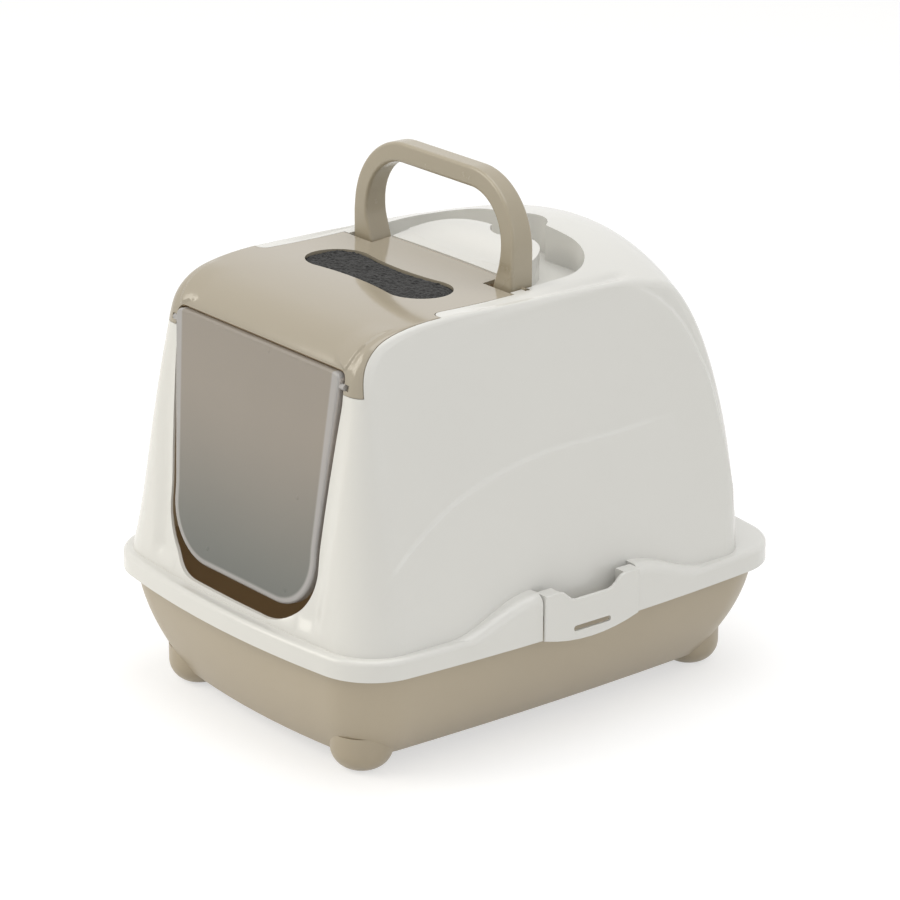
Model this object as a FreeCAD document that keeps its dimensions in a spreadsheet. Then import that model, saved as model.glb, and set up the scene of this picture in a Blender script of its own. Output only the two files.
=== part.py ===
"""Hooded litter box: tray, hood, flip-up lid with flap door and filter, carry handle and two side clips.

Millimetres, +Z up. The doorway faces -Y, and the origin is on the floor under the middle of the rim.
"""
import FreeCAD, Part
import math
import os

import Sketcher

Vector = FreeCAD.Vector

# Driving dimensions: alias, millimetres, what it measures.
SIZES = (
    # rim band, which the hood turns down over the tray
    ("rim_length", 500, "rim, front to back"),
    ("rim_width", 390, "rim, side to side"),
    ("rim_corner", 55, "plan radius of the rim's corners"),
    ("rim_side_bow", 14, "how far a long side of the rim bows out"),
    ("rim_end_bow", 20, "how far an end of the rim bows out"),
    ("rim_bottom", 104, "lower edge of the rim band above the floor"),
    ("rim_height", 18, "rim band, bottom to ledge"),
    ("rim_round", 4.5, "rounding along the top of the rim band"),
    ("rim_ledge", 13, "ledge from the rim band in to the hood wall"),
    # hood
    ("hood_wall", 2.5, "moulded wall of the hood"),
    ("hood_side_bow", 4, "how far a side wall bows out in plan"),
    ("hood_front_bow", 10, "how far the front bows out in plan"),
    ("lean_height", 210, "height over which the leans are measured"),
    ("side_lean", 40, "side wall's lean over that height"),
    ("front_lean", 35, "front wall's lean over that height"),
    ("roof_height", 381, "flat of the roof above the floor"),
    ("front_round", 50, "curve from the front up to the roof"),
    ("crest_height", 397, "highest point of the dome above the floor"),
    ("crest_place", 132, "crest behind the middle"),
    ("crest_drop", 52, "how much lower the dome is at the side walls"),
    ("crest_shift", 22, "how much further forward the crest is at the side walls"),
    ("back_tuck", 54, "how much shorter the back is at the side walls"),
    ("edge_round", 10, "rounding between a side wall and the roof's front edge"),
    ("front_corner", 48, "rounding of the hood's front corners at the ledge"),
    ("back_corner", 30, "rounding of the hood's back corners at the ledge"),
    ("corner_split", 182, "where the rounding is tightest, in front of the middle"),
    ("door_gap", 5, "clearance round the flap door in the doorway"),
    ("sill_gap", 9.5, "open gap under the flap door"),
    # tray
    ("tray_wall", 2.5, "moulded wall of the tray"),
    ("base_length", 418, "tray base, front to back"),
    ("base_width", 284, "tray base, side to side"),
    ("base_corner", 44, "plan radius of the base's corners"),
    ("base_side_bow", 6, "how far a long side of the base bows out"),
    ("base_end_bow", 13, "how far an end of the base bows out"),
    ("base_height", 15, "underside of the tray floor above the floor"),
    ("flange_thickness", 3, "tray flange under the rim ledge"),
    ("flange_gap", 0.6, "gap from the tray flange out to the rim band"),
    ("foot_radius", 27, "radius of a moulded foot"),
    ("foot_inset_x", 25, "foot's middle in from the side of the base"),
    ("foot_inset_y", 25, "foot's middle in from the end of the base"),
    ("foot_round", 20, "rounding under a foot"),
    ("foot_rise", 20, "how far a foot runs up into the tray wall"),
    # clip bays and clips
    ("swell_height", 23, "how far the rim swells up beside a clip"),
    ("swell_reach", 145, "where the swelling dies out, from the middle"),
    ("swell_round", 9, "rounding along the top of the swelling"),
    ("bay_width", 106, "gap in the rim for a clip"),
    ("bay_wall", 2.5, "wall that closes the rim at a bay"),
    ("clip_gap", 1, "gap between a clip's end and the bay"),
    ("clip_thickness", 2.5, "plate of a clip"),
    ("clip_proud", 1.5, "how far a clip stands out from the rim band"),
    ("clip_drop", 8.5, "how far a clip's middle hangs below the rim band"),
    ("clip_end_drop", 0.5, "how far a clip's ends hang below the rim band"),
    ("clip_round", 1.2, "rounding round a clip's outer face"),
    ("ear_width", 16, "a clip's ear along the rim"),
    ("ear_height", 10.5, "a clip's ear above the notch between the ears"),
    ("ear_slope", 18, "slope from an ear down into the notch"),
    ("ear_depth", 13, "a clip's ear from its back to the plate's face"),
    ("slot_length", 41, "finger slot in a clip"),
    ("slot_height", 5, "finger slot in a clip"),
    ("slot_rise", 9, "finger slot above a clip's lower edge"),
    ("hook_length", 36, "hook on the back of a clip, along the rim"),
    ("hook_height", 5, "hook on the back of a clip"),
    ("hook_gap", 1.5, "hook below the tray flange"),
    ("hook_stop", 0.4, "hook outside the tray flange at rest"),
    ("clip_pivot_in", 8, "clip's pivot in from the face of the rim band"),
    ("clip_pivot_down", 7, "clip's pivot below the top of the swelling"),
    ("clip_pin_radius", 2.5, "stub that a clip turns on"),
    # lid
    ("lid_wall", 3, "moulded wall of the lid"),
    ("lid_gap", 0.6, "gap between the lid and the hood"),
    ("lid_margin", 3.6, "hood edge left beside the front of the lid"),
    ("lid_rear_width", 231, "lid behind its step"),
    ("lid_step", 111, "lid's step in front of the middle"),
    ("lid_notch", 23.4, "lid's edge at the handle feet, in front of the middle"),
    ("lid_tongue_width", 151, "lid between the handle feet"),
    ("lid_rear", 3, "lid's rear edge in front of the middle"),
    ("lid_corner", 8, "plan rounding of the lid's corners"),
    ("leg_bottom", 332, "lower end of the lid's legs above the floor"),
    ("lip_bottom", 350, "lower edge of the lid over the door, above the floor"),
    ("lid_hinge_place", 30, "lid's hinge in front of the middle"),
    ("lid_hinge_height", 375, "lid's hinge above the floor"),
    ("lid_ear_length", 15, "hinge ear under the lid's side edge"),
    ("lid_ear_depth", 6.5, "hinge ear below the hinge"),
    ("lid_ear_wall", 2.4, "hinge ear's wall"),
    ("lid_pin_radius", 3, "stub that the lid turns on"),
    ("cheek_depth", 9, "hood wall beside the lid, below the hinge"),
    # recess in the roof for the folded handle
    ("recess_width", 220, "recess, side to side"),
    ("recess_end", 91, "recess's rear end behind the middle"),
    ("recess_corner", 58, "plan radius of the recess's rear corners"),
    ("groove_floor", 366.5, "groove's floor above the floor"),
    ("groove_wall", 2.5, "wall and floor of the groove"),
    ("island_width", 151, "raised island, side to side"),
    ("island_front", 0.5, "island's front face in front of the middle"),
    ("island_end", 67, "island's rear end behind the middle"),
    ("island_corner", 52, "plan radius of the island's rear corners"),
    ("island_height", 385, "island's top above the floor"),
    ("finger_radius", 25, "finger well at the back of the recess"),
    # carry handle
    ("handle_width", 216, "handle, side to side"),
    ("handle_bar", 17.5, "handle bar, seen from the front"),
    ("handle_depth", 23.5, "handle foot, front to back"),
    ("handle_taper", 5.5, "how much thinner the handle is at its bar, front to back"),
    ("handle_top", 474, "top of the handle above the floor"),
    ("handle_foot_width", 30, "handle foot, seen from the front"),
    ("handle_foot_round", 11.7, "rounding under a handle foot"),
    ("handle_flare", 36, "height over which a foot flares"),
    ("handle_round", 62, "outer corner of the handle"),
    ("handle_edge", 3, "rounding along the handle"),
    ("handle_pivot_place", 7, "handle's pivot in front of the middle"),
    ("handle_pivot_height", 379, "handle's pivot above the floor"),
    ("handle_pin_radius", 3.5, "stub that the handle turns on"),
    # flap door
    ("door_top_width", 230, "flap door at its hinge"),
    ("door_low_width", 200, "flap door where its lower corners start"),
    ("door_drop", 203, "flap door's lower edge below its hinge"),
    ("door_rise", 10.5, "flap door's upper edge above its hinge"),
    ("door_knee", 62, "where the flap door's sides turn upright, above its lower edge"),
    ("door_corner", 50, "lower corners of the flap door"),
    ("door_thickness", 2, "flap door's panel"),
    ("door_top_corner", 8, "upper corners of the flap door"),
    ("door_border", 5, "rim round the back of the flap door"),
    ("door_border_height", 6, "how far the rim stands out behind the panel"),
    ("door_proud", 3.5, "flap door's face in front of its hinge"),
    ("door_edge_round", 2.5, "rounding round the flap door's face"),
    ("door_hinge_place", 201, "door's hinge in front of the middle"),
    ("door_hinge_height", 338, "door's hinge above the floor"),
    ("door_lean", 19.4, "how far the door's lower edge stands out in front of its hinge"),
    ("door_pin_radius", 2.5, "stub that the door turns on"),
    ("door_ear_gap", 2, "gap between the door and the lid's ears"),
    ("door_ear_wall", 3, "lid's ear that holds the door"),
    ("door_ear_depth", 13, "lid's ear behind the front"),
    ("door_ear_height", 7, "lid's ear above and below the door's hinge"),
    # filter under the lid's window
    ("filter_place", 75, "filter's middle in front of the middle"),
    ("window_length", 168, "filter window, side to side"),
    ("window_lobe", 29, "radius of the window's round ends"),
    ("window_waist", 48, "window across its waist"),
    ("filter_margin", 4, "filter pad under the window's edge"),
    ("filter_thickness", 6, "filter pad"),
    ("filter_gap", 0.4, "gap round the filter pad"),
    ("filter_top", 376.5, "filter pad's top above the floor"),
    ("pocket_wall", 2, "wall round the filter pad under the lid"),
    ("retainer_thickness", 2, "retainer under the filter pad"),
    ("retainer_rim", 6, "retainer's border"),
    ("retainer_bar", 5, "retainer's cross bars"),
    # shared
    ("pin_clearance", 0.05, "radial clearance of a stub in its hole"),
    ("stub_root", 3, "how far a stub is sunk into its own piece"),
    ("pin_reach", 2.2, "how far a stub runs into its hole"),
    ("overrun", 20, "how far a cutter runs past what it cuts"),
)

# Fullness of the back's curve: 2 is an ellipse, more is squarer.
BACK_POWER_SHARE = 1.85
# Stations across the hood as shares of its half width, and along it as shares of its half length.
ACROSS_SHARES = (-1.1, -0.75, -0.4, 0, 0.4, 0.75, 1.1)
ALONG_SHARES = (-1.2, -0.6, 0, 0.6, 1.2)
# Points of the front curve, in degrees from the front wall up to the roof.
FRONT_CURVE_DEGREES = (0, 30, 60, 85)
FRONT_CURVE_DROP_SHARE = 0.05
BACK_STEPS = 8
# Levels of the tray's loft as shares of its height, and how the wall swells out between them.
TRAY_LEVEL_SHARES = (0, 0.16, 0.45, 1)
TRAY_SWELL_POWER_SHARE = 2.0
# Shape of the rim's swelling: shares of its length and of its height.
SWELL_SHARES = ((0, 1), (0.25, 0.86), (0.5, 0.5), (0.75, 0.14), (1, 0))
# Points of a clip's lower edge, as shares of its half length.
CLIP_EDGE_SHARES = (-0.75, -0.5, -0.25, 0, 0.25, 0.5, 0.75)
# Rounding of the finger slot's ends, as a share of its height.
SLOT_ROUND_SHARE = 0.49
# Retainer's cross bars, as shares of the window's half length.
RETAINER_BAR_SHARES = (-0.5, 0, 0.5)


class Size(float):
    """A length that remembers the sheet formula it came from."""

    def __new__(cls, value, formula):
        size = super().__new__(cls, value)
        size.formula = formula
        return size

    def __add__(self, other):
        return joined(self, "+", other, float(self) + float(other))

    def __sub__(self, other):
        return joined(self, "-", other, float(self) - float(other))

    def __mul__(self, other):
        return joined(self, "*", other, float(self) * float(other))

    def __truediv__(self, other):
        return joined(self, "/", other, float(self) / float(other))

    def __neg__(self):
        return Size(-float(self), f"-({self.formula})")


def joined(first, sign, second, value):
    """Combine two lengths, or a length and a plain share, into one with its formula."""
    return Size(value, f"({first.formula} {sign} {getattr(second, 'formula', second)})")


def fill_sheet(doc):
    """Write the driving dimensions into the sheet and return them by alias."""
    sheet = doc.addObject("Spreadsheet::Sheet", "Sizes")
    for row, (alias, value, meaning) in enumerate(SIZES, start=1):
        sheet.set(f"A{row}", meaning)
        sheet.set(f"B{row}", str(value))
        sheet.setAlias(f"B{row}", alias)
    doc.recompute()
    return {alias: Size(sheet.get(alias), f"Sizes.{alias}") for alias, value, meaning in SIZES}


def bind(thing, name, size):
    """Tie a property of a document object to the sheet."""
    thing.setExpression(name, size.formula)


# Outlines and solids that several pieces share

def bowed_outline(half_x, half_y, side_bow, end_bow, corner, height):
    """Rounded rectangle with sides that bow out, as eight arcs that run into each other."""
    side_radius = (half_y ** 2 + side_bow ** 2) / (2 * side_bow)
    end_radius = (half_x ** 2 + end_bow ** 2) / (2 * end_bow)
    side_middle = Vector(half_x - side_radius, 0, 0)
    end_middle = Vector(0, half_y - end_radius, 0)
    apart = end_middle - side_middle
    unit = Vector(apart).normalize()
    to_side = side_radius - corner
    to_end = end_radius - corner
    along = (to_side ** 2 - to_end ** 2 + apart.Length ** 2) / (2 * apart.Length)
    beside = math.sqrt(to_side ** 2 - along ** 2)
    middle = side_middle + unit * along + Vector(-unit.y, unit.x, 0) * beside
    on_side = side_middle + (middle - side_middle).normalize() * side_radius
    on_end = end_middle + (middle - end_middle).normalize() * end_radius
    between = middle + ((on_side + on_end) * 0.5 - middle).normalize() * corner

    def turned(point, sign_x, sign_y):
        return Vector(point.x * sign_x, point.y * sign_y, height)

    edges = []
    for sign_x, sign_y in ((1, 1), (-1, 1), (-1, -1), (1, -1)):
        start, end = (on_side, on_end) if sign_x == sign_y else (on_end, on_side)
        corner_points = [turned(point, sign_x, sign_y) for point in (start, between, end)]
        edges.append(Part.Arc(*corner_points).toShape())
        if sign_x == sign_y:
            far_point = Vector(0, half_y * sign_y, height)
            far_end = turned(on_end, -sign_x, sign_y)
        else:
            far_point = Vector(half_x * sign_x, 0, height)
            far_end = turned(on_side, sign_x, -sign_y)
        edges.append(Part.Arc(corner_points[2], far_point, far_end).toShape())
    return Part.Wire(edges)


def prism(wire, height):
    """Solid that stands on a flat outline."""
    return Part.Face(wire).extrude(Vector(0, 0, height))


def slab(low, high):
    """Box between two corners."""
    return Part.makeBox(high[0] - low[0], high[1] - low[1], high[2] - low[2], Vector(*low))


def plan_slab(half_x, front, rear, low, high):
    """Box that is centred on X."""
    return slab((-half_x, front, low), (half_x, rear, high))


def mirrored(shape):
    """The shape and its mirror image on the other side of the box."""
    return [shape, shape.mirror(Vector(0, 0, 0), Vector(1, 0, 0))]


def cross_pin(radius, inner_x, outer_x, place, height):
    """Cylinder along X on the +X side."""
    return Part.makeCylinder(radius, outer_x - inner_x, Vector(inner_x, place, height), Vector(1, 0, 0))


def upright_edges(shape, test):
    """Edges along Z whose middle passes the test."""
    chosen = []
    for edge in shape.Edges:
        if edge.BoundBox.XLength + edge.BoundBox.YLength < edge.BoundBox.ZLength / 1000:
            if test(edge.BoundBox.Center):
                chosen.append(edge)
    return chosen


def recess_outline(half_x, front, end, corner, height):
    """Straight front and sides, with two round rear corners."""
    side_end = end - corner
    bend = corner * (1 - math.cos(math.pi / 4))
    right_mid = Vector(half_x - bend, end - bend, height)
    left_mid = Vector(-half_x + bend, end - bend, height)
    corners = [
        Vector(-half_x, front, height),
        Vector(half_x, front, height),
        Vector(half_x, side_end, height),
        Vector(half_x - corner, end, height),
        Vector(-half_x + corner, end, height),
        Vector(-half_x, side_end, height),
    ]
    edges = [
        Part.LineSegment(corners[0], corners[1]).toShape(),
        Part.LineSegment(corners[1], corners[2]).toShape(),
        Part.Arc(corners[2], right_mid, corners[3]).toShape(),
        Part.LineSegment(corners[3], corners[4]).toShape(),
        Part.Arc(corners[4], left_mid, corners[5]).toShape(),
        Part.LineSegment(corners[5], corners[0]).toShape(),
    ]
    return Part.Wire(edges)


def bean_outline(sizes, grow, height):
    """Two round lobes joined by hollow arcs, grown all round."""
    lobe = sizes["window_lobe"] + grow
    waist = sizes["window_waist"] / 2 + grow
    reach = sizes["window_length"] / 2 - sizes["window_lobe"]
    hollow = (reach ** 2 + waist ** 2 - lobe ** 2) / (2 * (lobe - waist))
    place = -sizes["filter_place"]
    lobe_middle = Vector(reach, 0, 0)
    touch = lobe_middle + (Vector(0, waist + hollow, 0) - lobe_middle).normalize() * lobe

    def at(x, y):
        return Vector(x, place + y, height)

    right_arc = Part.Arc(at(touch.x, -touch.y), at(reach + lobe, 0), at(touch.x, touch.y))
    rear_arc = Part.Arc(at(touch.x, touch.y), at(0, waist), at(-touch.x, touch.y))
    left_arc = Part.Arc(at(-touch.x, touch.y), at(-reach - lobe, 0), at(-touch.x, -touch.y))
    front_arc = Part.Arc(at(-touch.x, -touch.y), at(0, -waist), at(touch.x, -touch.y))
    return Part.Wire([arc.toShape() for arc in (right_arc, rear_arc, left_arc, front_arc)])


# Form of the hood, which the lid continues

def rim_top(sizes):
    """Height of the rim's ledge."""
    return sizes["rim_bottom"] + sizes["rim_height"]


def hood_half_x(sizes):
    """Half width of the hood's walls at the ledge."""
    return sizes["rim_width"] / 2 - sizes["rim_ledge"]


def hood_half_y(sizes):
    """Half length of the hood's walls at the ledge."""
    return sizes["rim_length"] / 2 - sizes["rim_ledge"]


def side_x(sizes, height, along_share, inset):
    """Half width of the hood at a height, with the bow of its side walls."""
    rise_share = (height - rim_top(sizes)) / sizes["lean_height"]
    lean = sizes["side_lean"] * rise_share
    return hood_half_x(sizes) - inset - lean - sizes["hood_side_bow"] * along_share ** 2


def front_y(sizes, height, across_share, inset):
    """Place of the front wall at a height, with its bow, which fades out towards the roof."""
    rise_share = (height - rim_top(sizes)) / sizes["lean_height"]
    bow = sizes["hood_front_bow"] * across_share ** 2 * (1 - rise_share)
    return inset - hood_half_y(sizes) + sizes["front_lean"] * rise_share + bow


def hood_profile(sizes, across_share, inset, low):
    """Front, roof and back of the hood in one upright section along Y."""
    tuck = across_share ** 2
    across = across_share * hood_half_x(sizes)
    ledge = rim_top(sizes)
    roof = sizes["roof_height"] - inset
    radius = sizes["front_round"] - inset
    crest = sizes["crest_height"] - inset - sizes["crest_drop"] * tuck
    crest_y = sizes["crest_place"] - sizes["crest_shift"] * tuck
    back_y = hood_half_y(sizes) - inset - sizes["back_tuck"] * tuck
    curve_low = roof - radius
    curve_rise = radius * (1 - FRONT_CURVE_DROP_SHARE)
    curve_middle = front_y(sizes, curve_low, across_share, inset) + radius
    points = [
        Vector(across, front_y(sizes, height, across_share, inset), height)
        for height in (low, (low + curve_low) / 2)
    ]
    for degrees in FRONT_CURVE_DEGREES:
        angle = math.radians(degrees)
        place = curve_middle - radius * math.cos(angle)
        points.append(Vector(across, place, curve_low + curve_rise * math.sin(angle)))
    points.append(Vector(across, -sizes["filter_place"], roof))
    points.append(Vector(across, -sizes["lid_notch"], roof))
    for step in range(BACK_STEPS + 1):
        angle = math.pi / 2 * step / BACK_STEPS
        out = math.sin(angle) ** (2 / BACK_POWER_SHARE)
        up = math.cos(angle) ** (2 / BACK_POWER_SHARE)
        points.append(Vector(across, crest_y + (back_y - crest_y) * out, ledge + (crest - ledge) * up))
    points.append(Vector(across, back_y, low))
    return points


def round_corners(doc, sizes, form, inset):
    """Round the side walls into the rest: wide at the front ledge, tight at the roof, wider at the back."""
    far = sizes["rim_length"]
    split = -sizes["corner_split"]
    front = form.common(slab((-far, -far, 0), (far, split, far)))
    back = form.common(slab((-far, split, 0), (far, far, far)))
    base = doc.addObject("Part::Feature", "corner_base")
    base.Shape = front.fuse(back).Solids[0]
    rounds = []
    for index, edge in enumerate(base.Shape.Edges, start=1):
        box = edge.BoundBox
        if box.ZLength < sizes["lean_height"] / 2 or box.YLength < sizes["edge_round"]:
            continue
        wide = sizes["front_corner"] if box.Center.y < split else sizes["back_corner"]
        radii = [float(wide - inset), float(sizes["edge_round"] - inset)]
        if edge.valueAt(edge.FirstParameter).z > edge.valueAt(edge.LastParameter).z:
            radii.reverse()
        rounds.append((index, *radii))
    rounded = doc.addObject("Part::Fillet", "corner_rounds")
    rounded.Base = base
    rounded.Edges = rounds
    doc.recompute()
    shape = rounded.Shape.copy()
    doc.removeObject(rounded.Name)
    doc.removeObject(base.Name)
    return shape


def hood_form(doc, sizes, inset, low):
    """Solid of the hood's outside, or of its inside where inset is the wall, down to a level."""
    middle = hood_profile(sizes, 0, inset, low)
    lengths = [0.0]
    for start, end in zip(middle, middle[1:]):
        lengths.append(lengths[-1] + (end - start).Length)
    sections = []
    for share in ACROSS_SHARES:
        points = hood_profile(sizes, share, inset, low)
        curve = Part.BSplineCurve()
        curve.interpolate(Points=points, Parameters=lengths)
        closing = Part.LineSegment(points[-1], points[0]).toShape()
        sections.append(Part.Wire([curve.toShape(), closing]))
    over = Part.makeLoft(sections, True, False)
    form = over.common(side_form(sizes, inset, low - sizes["overrun"]))
    return round_corners(doc, sizes, form, inset)


def side_form(sizes, inset, low):
    """Solid between the two leaning side walls."""
    high = sizes["crest_height"] + sizes["overrun"]
    sections = []
    for share in ALONG_SHARES:
        place = share * hood_half_y(sizes)
        wide = side_x(sizes, low, share, inset)
        narrow = side_x(sizes, high, share, inset)
        corners = [(-wide, low), (-narrow, high), (narrow, high), (wide, low), (-wide, low)]
        sections.append(Part.makePolygon([Vector(x, place, z) for x, z in corners]))
    return Part.makeLoft(sections, True, False)


def rim_outline(sizes, inset, height):
    """Outline of the rim, drawn in by an inset."""
    return bowed_outline(sizes["rim_width"] / 2 - inset, sizes["rim_length"] / 2 - inset,
                         sizes["rim_side_bow"], sizes["rim_end_bow"], sizes["rim_corner"] - inset, height)


def lid_region(sizes, grow):
    """Space that the lid takes out of the hood's form, grown by a gap."""
    front = -sizes["rim_length"] / 2
    step = grow - sizes["lid_step"]
    notch = grow - sizes["lid_notch"]
    rear = grow - sizes["lid_rear"]
    half_front = sizes["rim_width"] / 2
    half_rear = sizes["lid_rear_width"] / 2 + grow
    half_tongue = sizes["lid_tongue_width"] / 2 + grow
    right = [(half_front, front), (half_front, step), (half_rear, step), (half_rear, notch),
             (half_tongue, notch), (half_tongue, rear)]
    outline = right + [(-x, y) for x, y in reversed(right)]
    low = sizes["leg_bottom"] - grow
    corners = [Vector(x, y, low) for x, y in outline]
    rise = sizes["crest_height"] - low
    region = prism(Part.makePolygon(corners + corners[:1]), rise)
    inner_corners = upright_edges(region, lambda middle: abs(middle.x) < half_front - grow)
    region = region.makeFillet(sizes["lid_corner"], [
        edge for edge in inner_corners if abs(edge.BoundBox.Center.y - step) < sizes["lid_wall"]])
    return region.common(side_form(sizes, sizes["lid_margin"] - grow, low - sizes["overrun"]))


# Pieces that are one moulded shell

def build_tray(doc, sizes):
    """Open tray with four moulded feet and a flange that carries the hood."""
    low = sizes["base_height"]
    top = rim_top(sizes) - sizes["hood_wall"]
    top_half_x = hood_half_x(sizes)
    top_half_y = hood_half_y(sizes)

    def bowl(inset, bottom, overrun):
        sections = []
        for share in TRAY_LEVEL_SHARES:
            swell = 1 - (1 - share) ** TRAY_SWELL_POWER_SHARE
            half_x = sizes["base_width"] / 2 * (1 - swell) + top_half_x * swell
            half_y = sizes["base_length"] / 2 * (1 - swell) + top_half_y * swell
            side_bow = sizes["base_side_bow"] * (1 - swell) + sizes["hood_side_bow"] * swell
            end_bow = sizes["base_end_bow"] * (1 - swell) + sizes["hood_front_bow"] * swell
            corner = sizes["base_corner"] * (1 - swell) + sizes["rim_corner"] * swell
            height = bottom + (top + overrun * share - bottom) * share
            sections.append(bowed_outline(half_x - inset, half_y - inset, side_bow, end_bow,
                                          corner - inset, height))
        return Part.makeLoft(sections, True, False)

    outside = bowl(0, low, 0)
    inside = bowl(sizes["tray_wall"], low + sizes["tray_wall"], sizes["tray_wall"])
    flange_inset = sizes["hood_wall"] + sizes["flange_gap"]
    flange_low = top - sizes["flange_thickness"]
    flange = prism(rim_outline(sizes, flange_inset, flange_low), sizes["flange_thickness"])
    foot_height = low + sizes["foot_rise"]
    feet = []
    for sign_x in (-1, 1):
        for sign_y in (-1, 1):
            place = Vector(sign_x * (sizes["base_width"] / 2 - sizes["foot_inset_x"]),
                           sign_y * (sizes["base_length"] / 2 - sizes["foot_inset_y"]), 0)
            foot = Part.makeCylinder(sizes["foot_radius"], foot_height, place)
            under = [edge for edge in foot.Edges if edge.BoundBox.ZMax < low / 2]
            feet.append(foot.makeFillet(sizes["foot_round"], under))
    return outside.multiFuse([flange] + feet).cut(inside).removeSplitter()


def swell_form(sizes, inset, start):
    """One half of a rim swelling on the +X, +Y side: it rises towards the clip bay and dies out behind."""
    base = sizes["rim_bottom"]
    reach = sizes["swell_reach"] - inset
    rise = sizes["swell_height"]
    ledge = rim_top(sizes)
    inner = side_x(sizes, ledge + rise, 0, 0) - sizes["overrun"]
    outer = sizes["rim_width"] / 2 + sizes["overrun"]
    tops = [Vector(inner, start + (reach - start) * along, ledge + rise * up - inset)
            for along, up in SWELL_SHARES]
    curve = Part.BSplineCurve()
    curve.interpolate(Points=tops)
    corners = [tops[-1], Vector(inner, reach, base), Vector(inner, start, base), tops[0]]
    lines = [Part.LineSegment(first, second).toShape() for first, second in zip(corners, corners[1:])]
    face = Part.Face(Part.Wire([curve.toShape()] + lines))
    block = face.extrude(Vector(outer - inner, 0, 0))
    column = prism(rim_outline(sizes, inset, base), ledge + rise * 2 - base)
    form = block.common(column)
    rounding = sizes["swell_round"] - inset
    top_edges = []
    for edge in form.Edges:
        box = edge.BoundBox
        along_top = box.YLength > (reach - start) / 2 and box.ZMax > ledge + rise / 2
        if along_top and box.XMax > inner + rounding:
            top_edges.append(edge)
    return form.makeFillet(rounding, top_edges)


def rim_solid(sizes, inset):
    """Rim band with its four half swellings, outside or drawn in by the wall."""
    low = sizes["rim_bottom"]
    height = sizes["rim_height"]
    start = sizes["bay_width"] / 2
    if inset > 0:
        low = low - sizes["overrun"]
        height = height - inset + sizes["overrun"]
        start = start + sizes["bay_wall"]
    band = prism(rim_outline(sizes, inset, low), height)
    if inset == 0:
        upper = [edge for edge in band.Edges if edge.BoundBox.ZMin > low + height / 2]
        band = band.makeFillet(sizes["rim_round"], upper)
    half = swell_form(sizes, inset, start)
    halves = [half, half.mirror(Vector(0, 0, 0), Vector(0, 1, 0))]
    swells = [side for shape in halves for side in mirrored(shape)]
    return band.multiFuse(swells)


def clip_bays(sizes, extra, low):
    """Gaps in the rim for the two clips, from a height upwards."""
    half = sizes["bay_width"] / 2 + extra
    inner = hood_half_x(sizes) - sizes["overrun"] * 2
    outer = sizes["rim_width"] / 2 + sizes["overrun"]
    high = rim_top(sizes) + sizes["swell_height"] + sizes["overrun"]
    return mirrored(slab((inner, -half, low), (outer, half, high)))


def doorway(sizes):
    """Cutter for the doorway: the flap door's outline with a gap, and an open gap under it."""
    gap = sizes["door_gap"]
    bottom = sizes["door_hinge_height"] - sizes["door_drop"] - sizes["sill_gap"]
    top = sizes["lip_bottom"] + sizes["overrun"]
    knee = sizes["door_hinge_height"] - sizes["door_drop"] + sizes["door_knee"]
    half_top = sizes["door_top_width"] / 2 + gap
    half_low = sizes["door_low_width"] / 2 + gap
    front = -sizes["rim_length"] / 2
    right = [(half_low, bottom), (half_low, knee), (half_top, top)]
    corners = right + [(-x, z) for x, z in reversed(right)]
    points = [Vector(x, front, z) for x, z in corners]
    depth = sizes["rim_length"] / 2 - sizes["door_hinge_place"] + sizes["overrun"] * 2
    block = Part.Face(Part.makePolygon(points + points[:1])).extrude(Vector(0, depth, 0))
    lower = [edge for edge in block.Edges
             if edge.BoundBox.ZMax < bottom + gap and edge.BoundBox.YLength > depth / 2]
    return block.makeFillet(sizes["door_corner"] + gap, lower)


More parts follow.
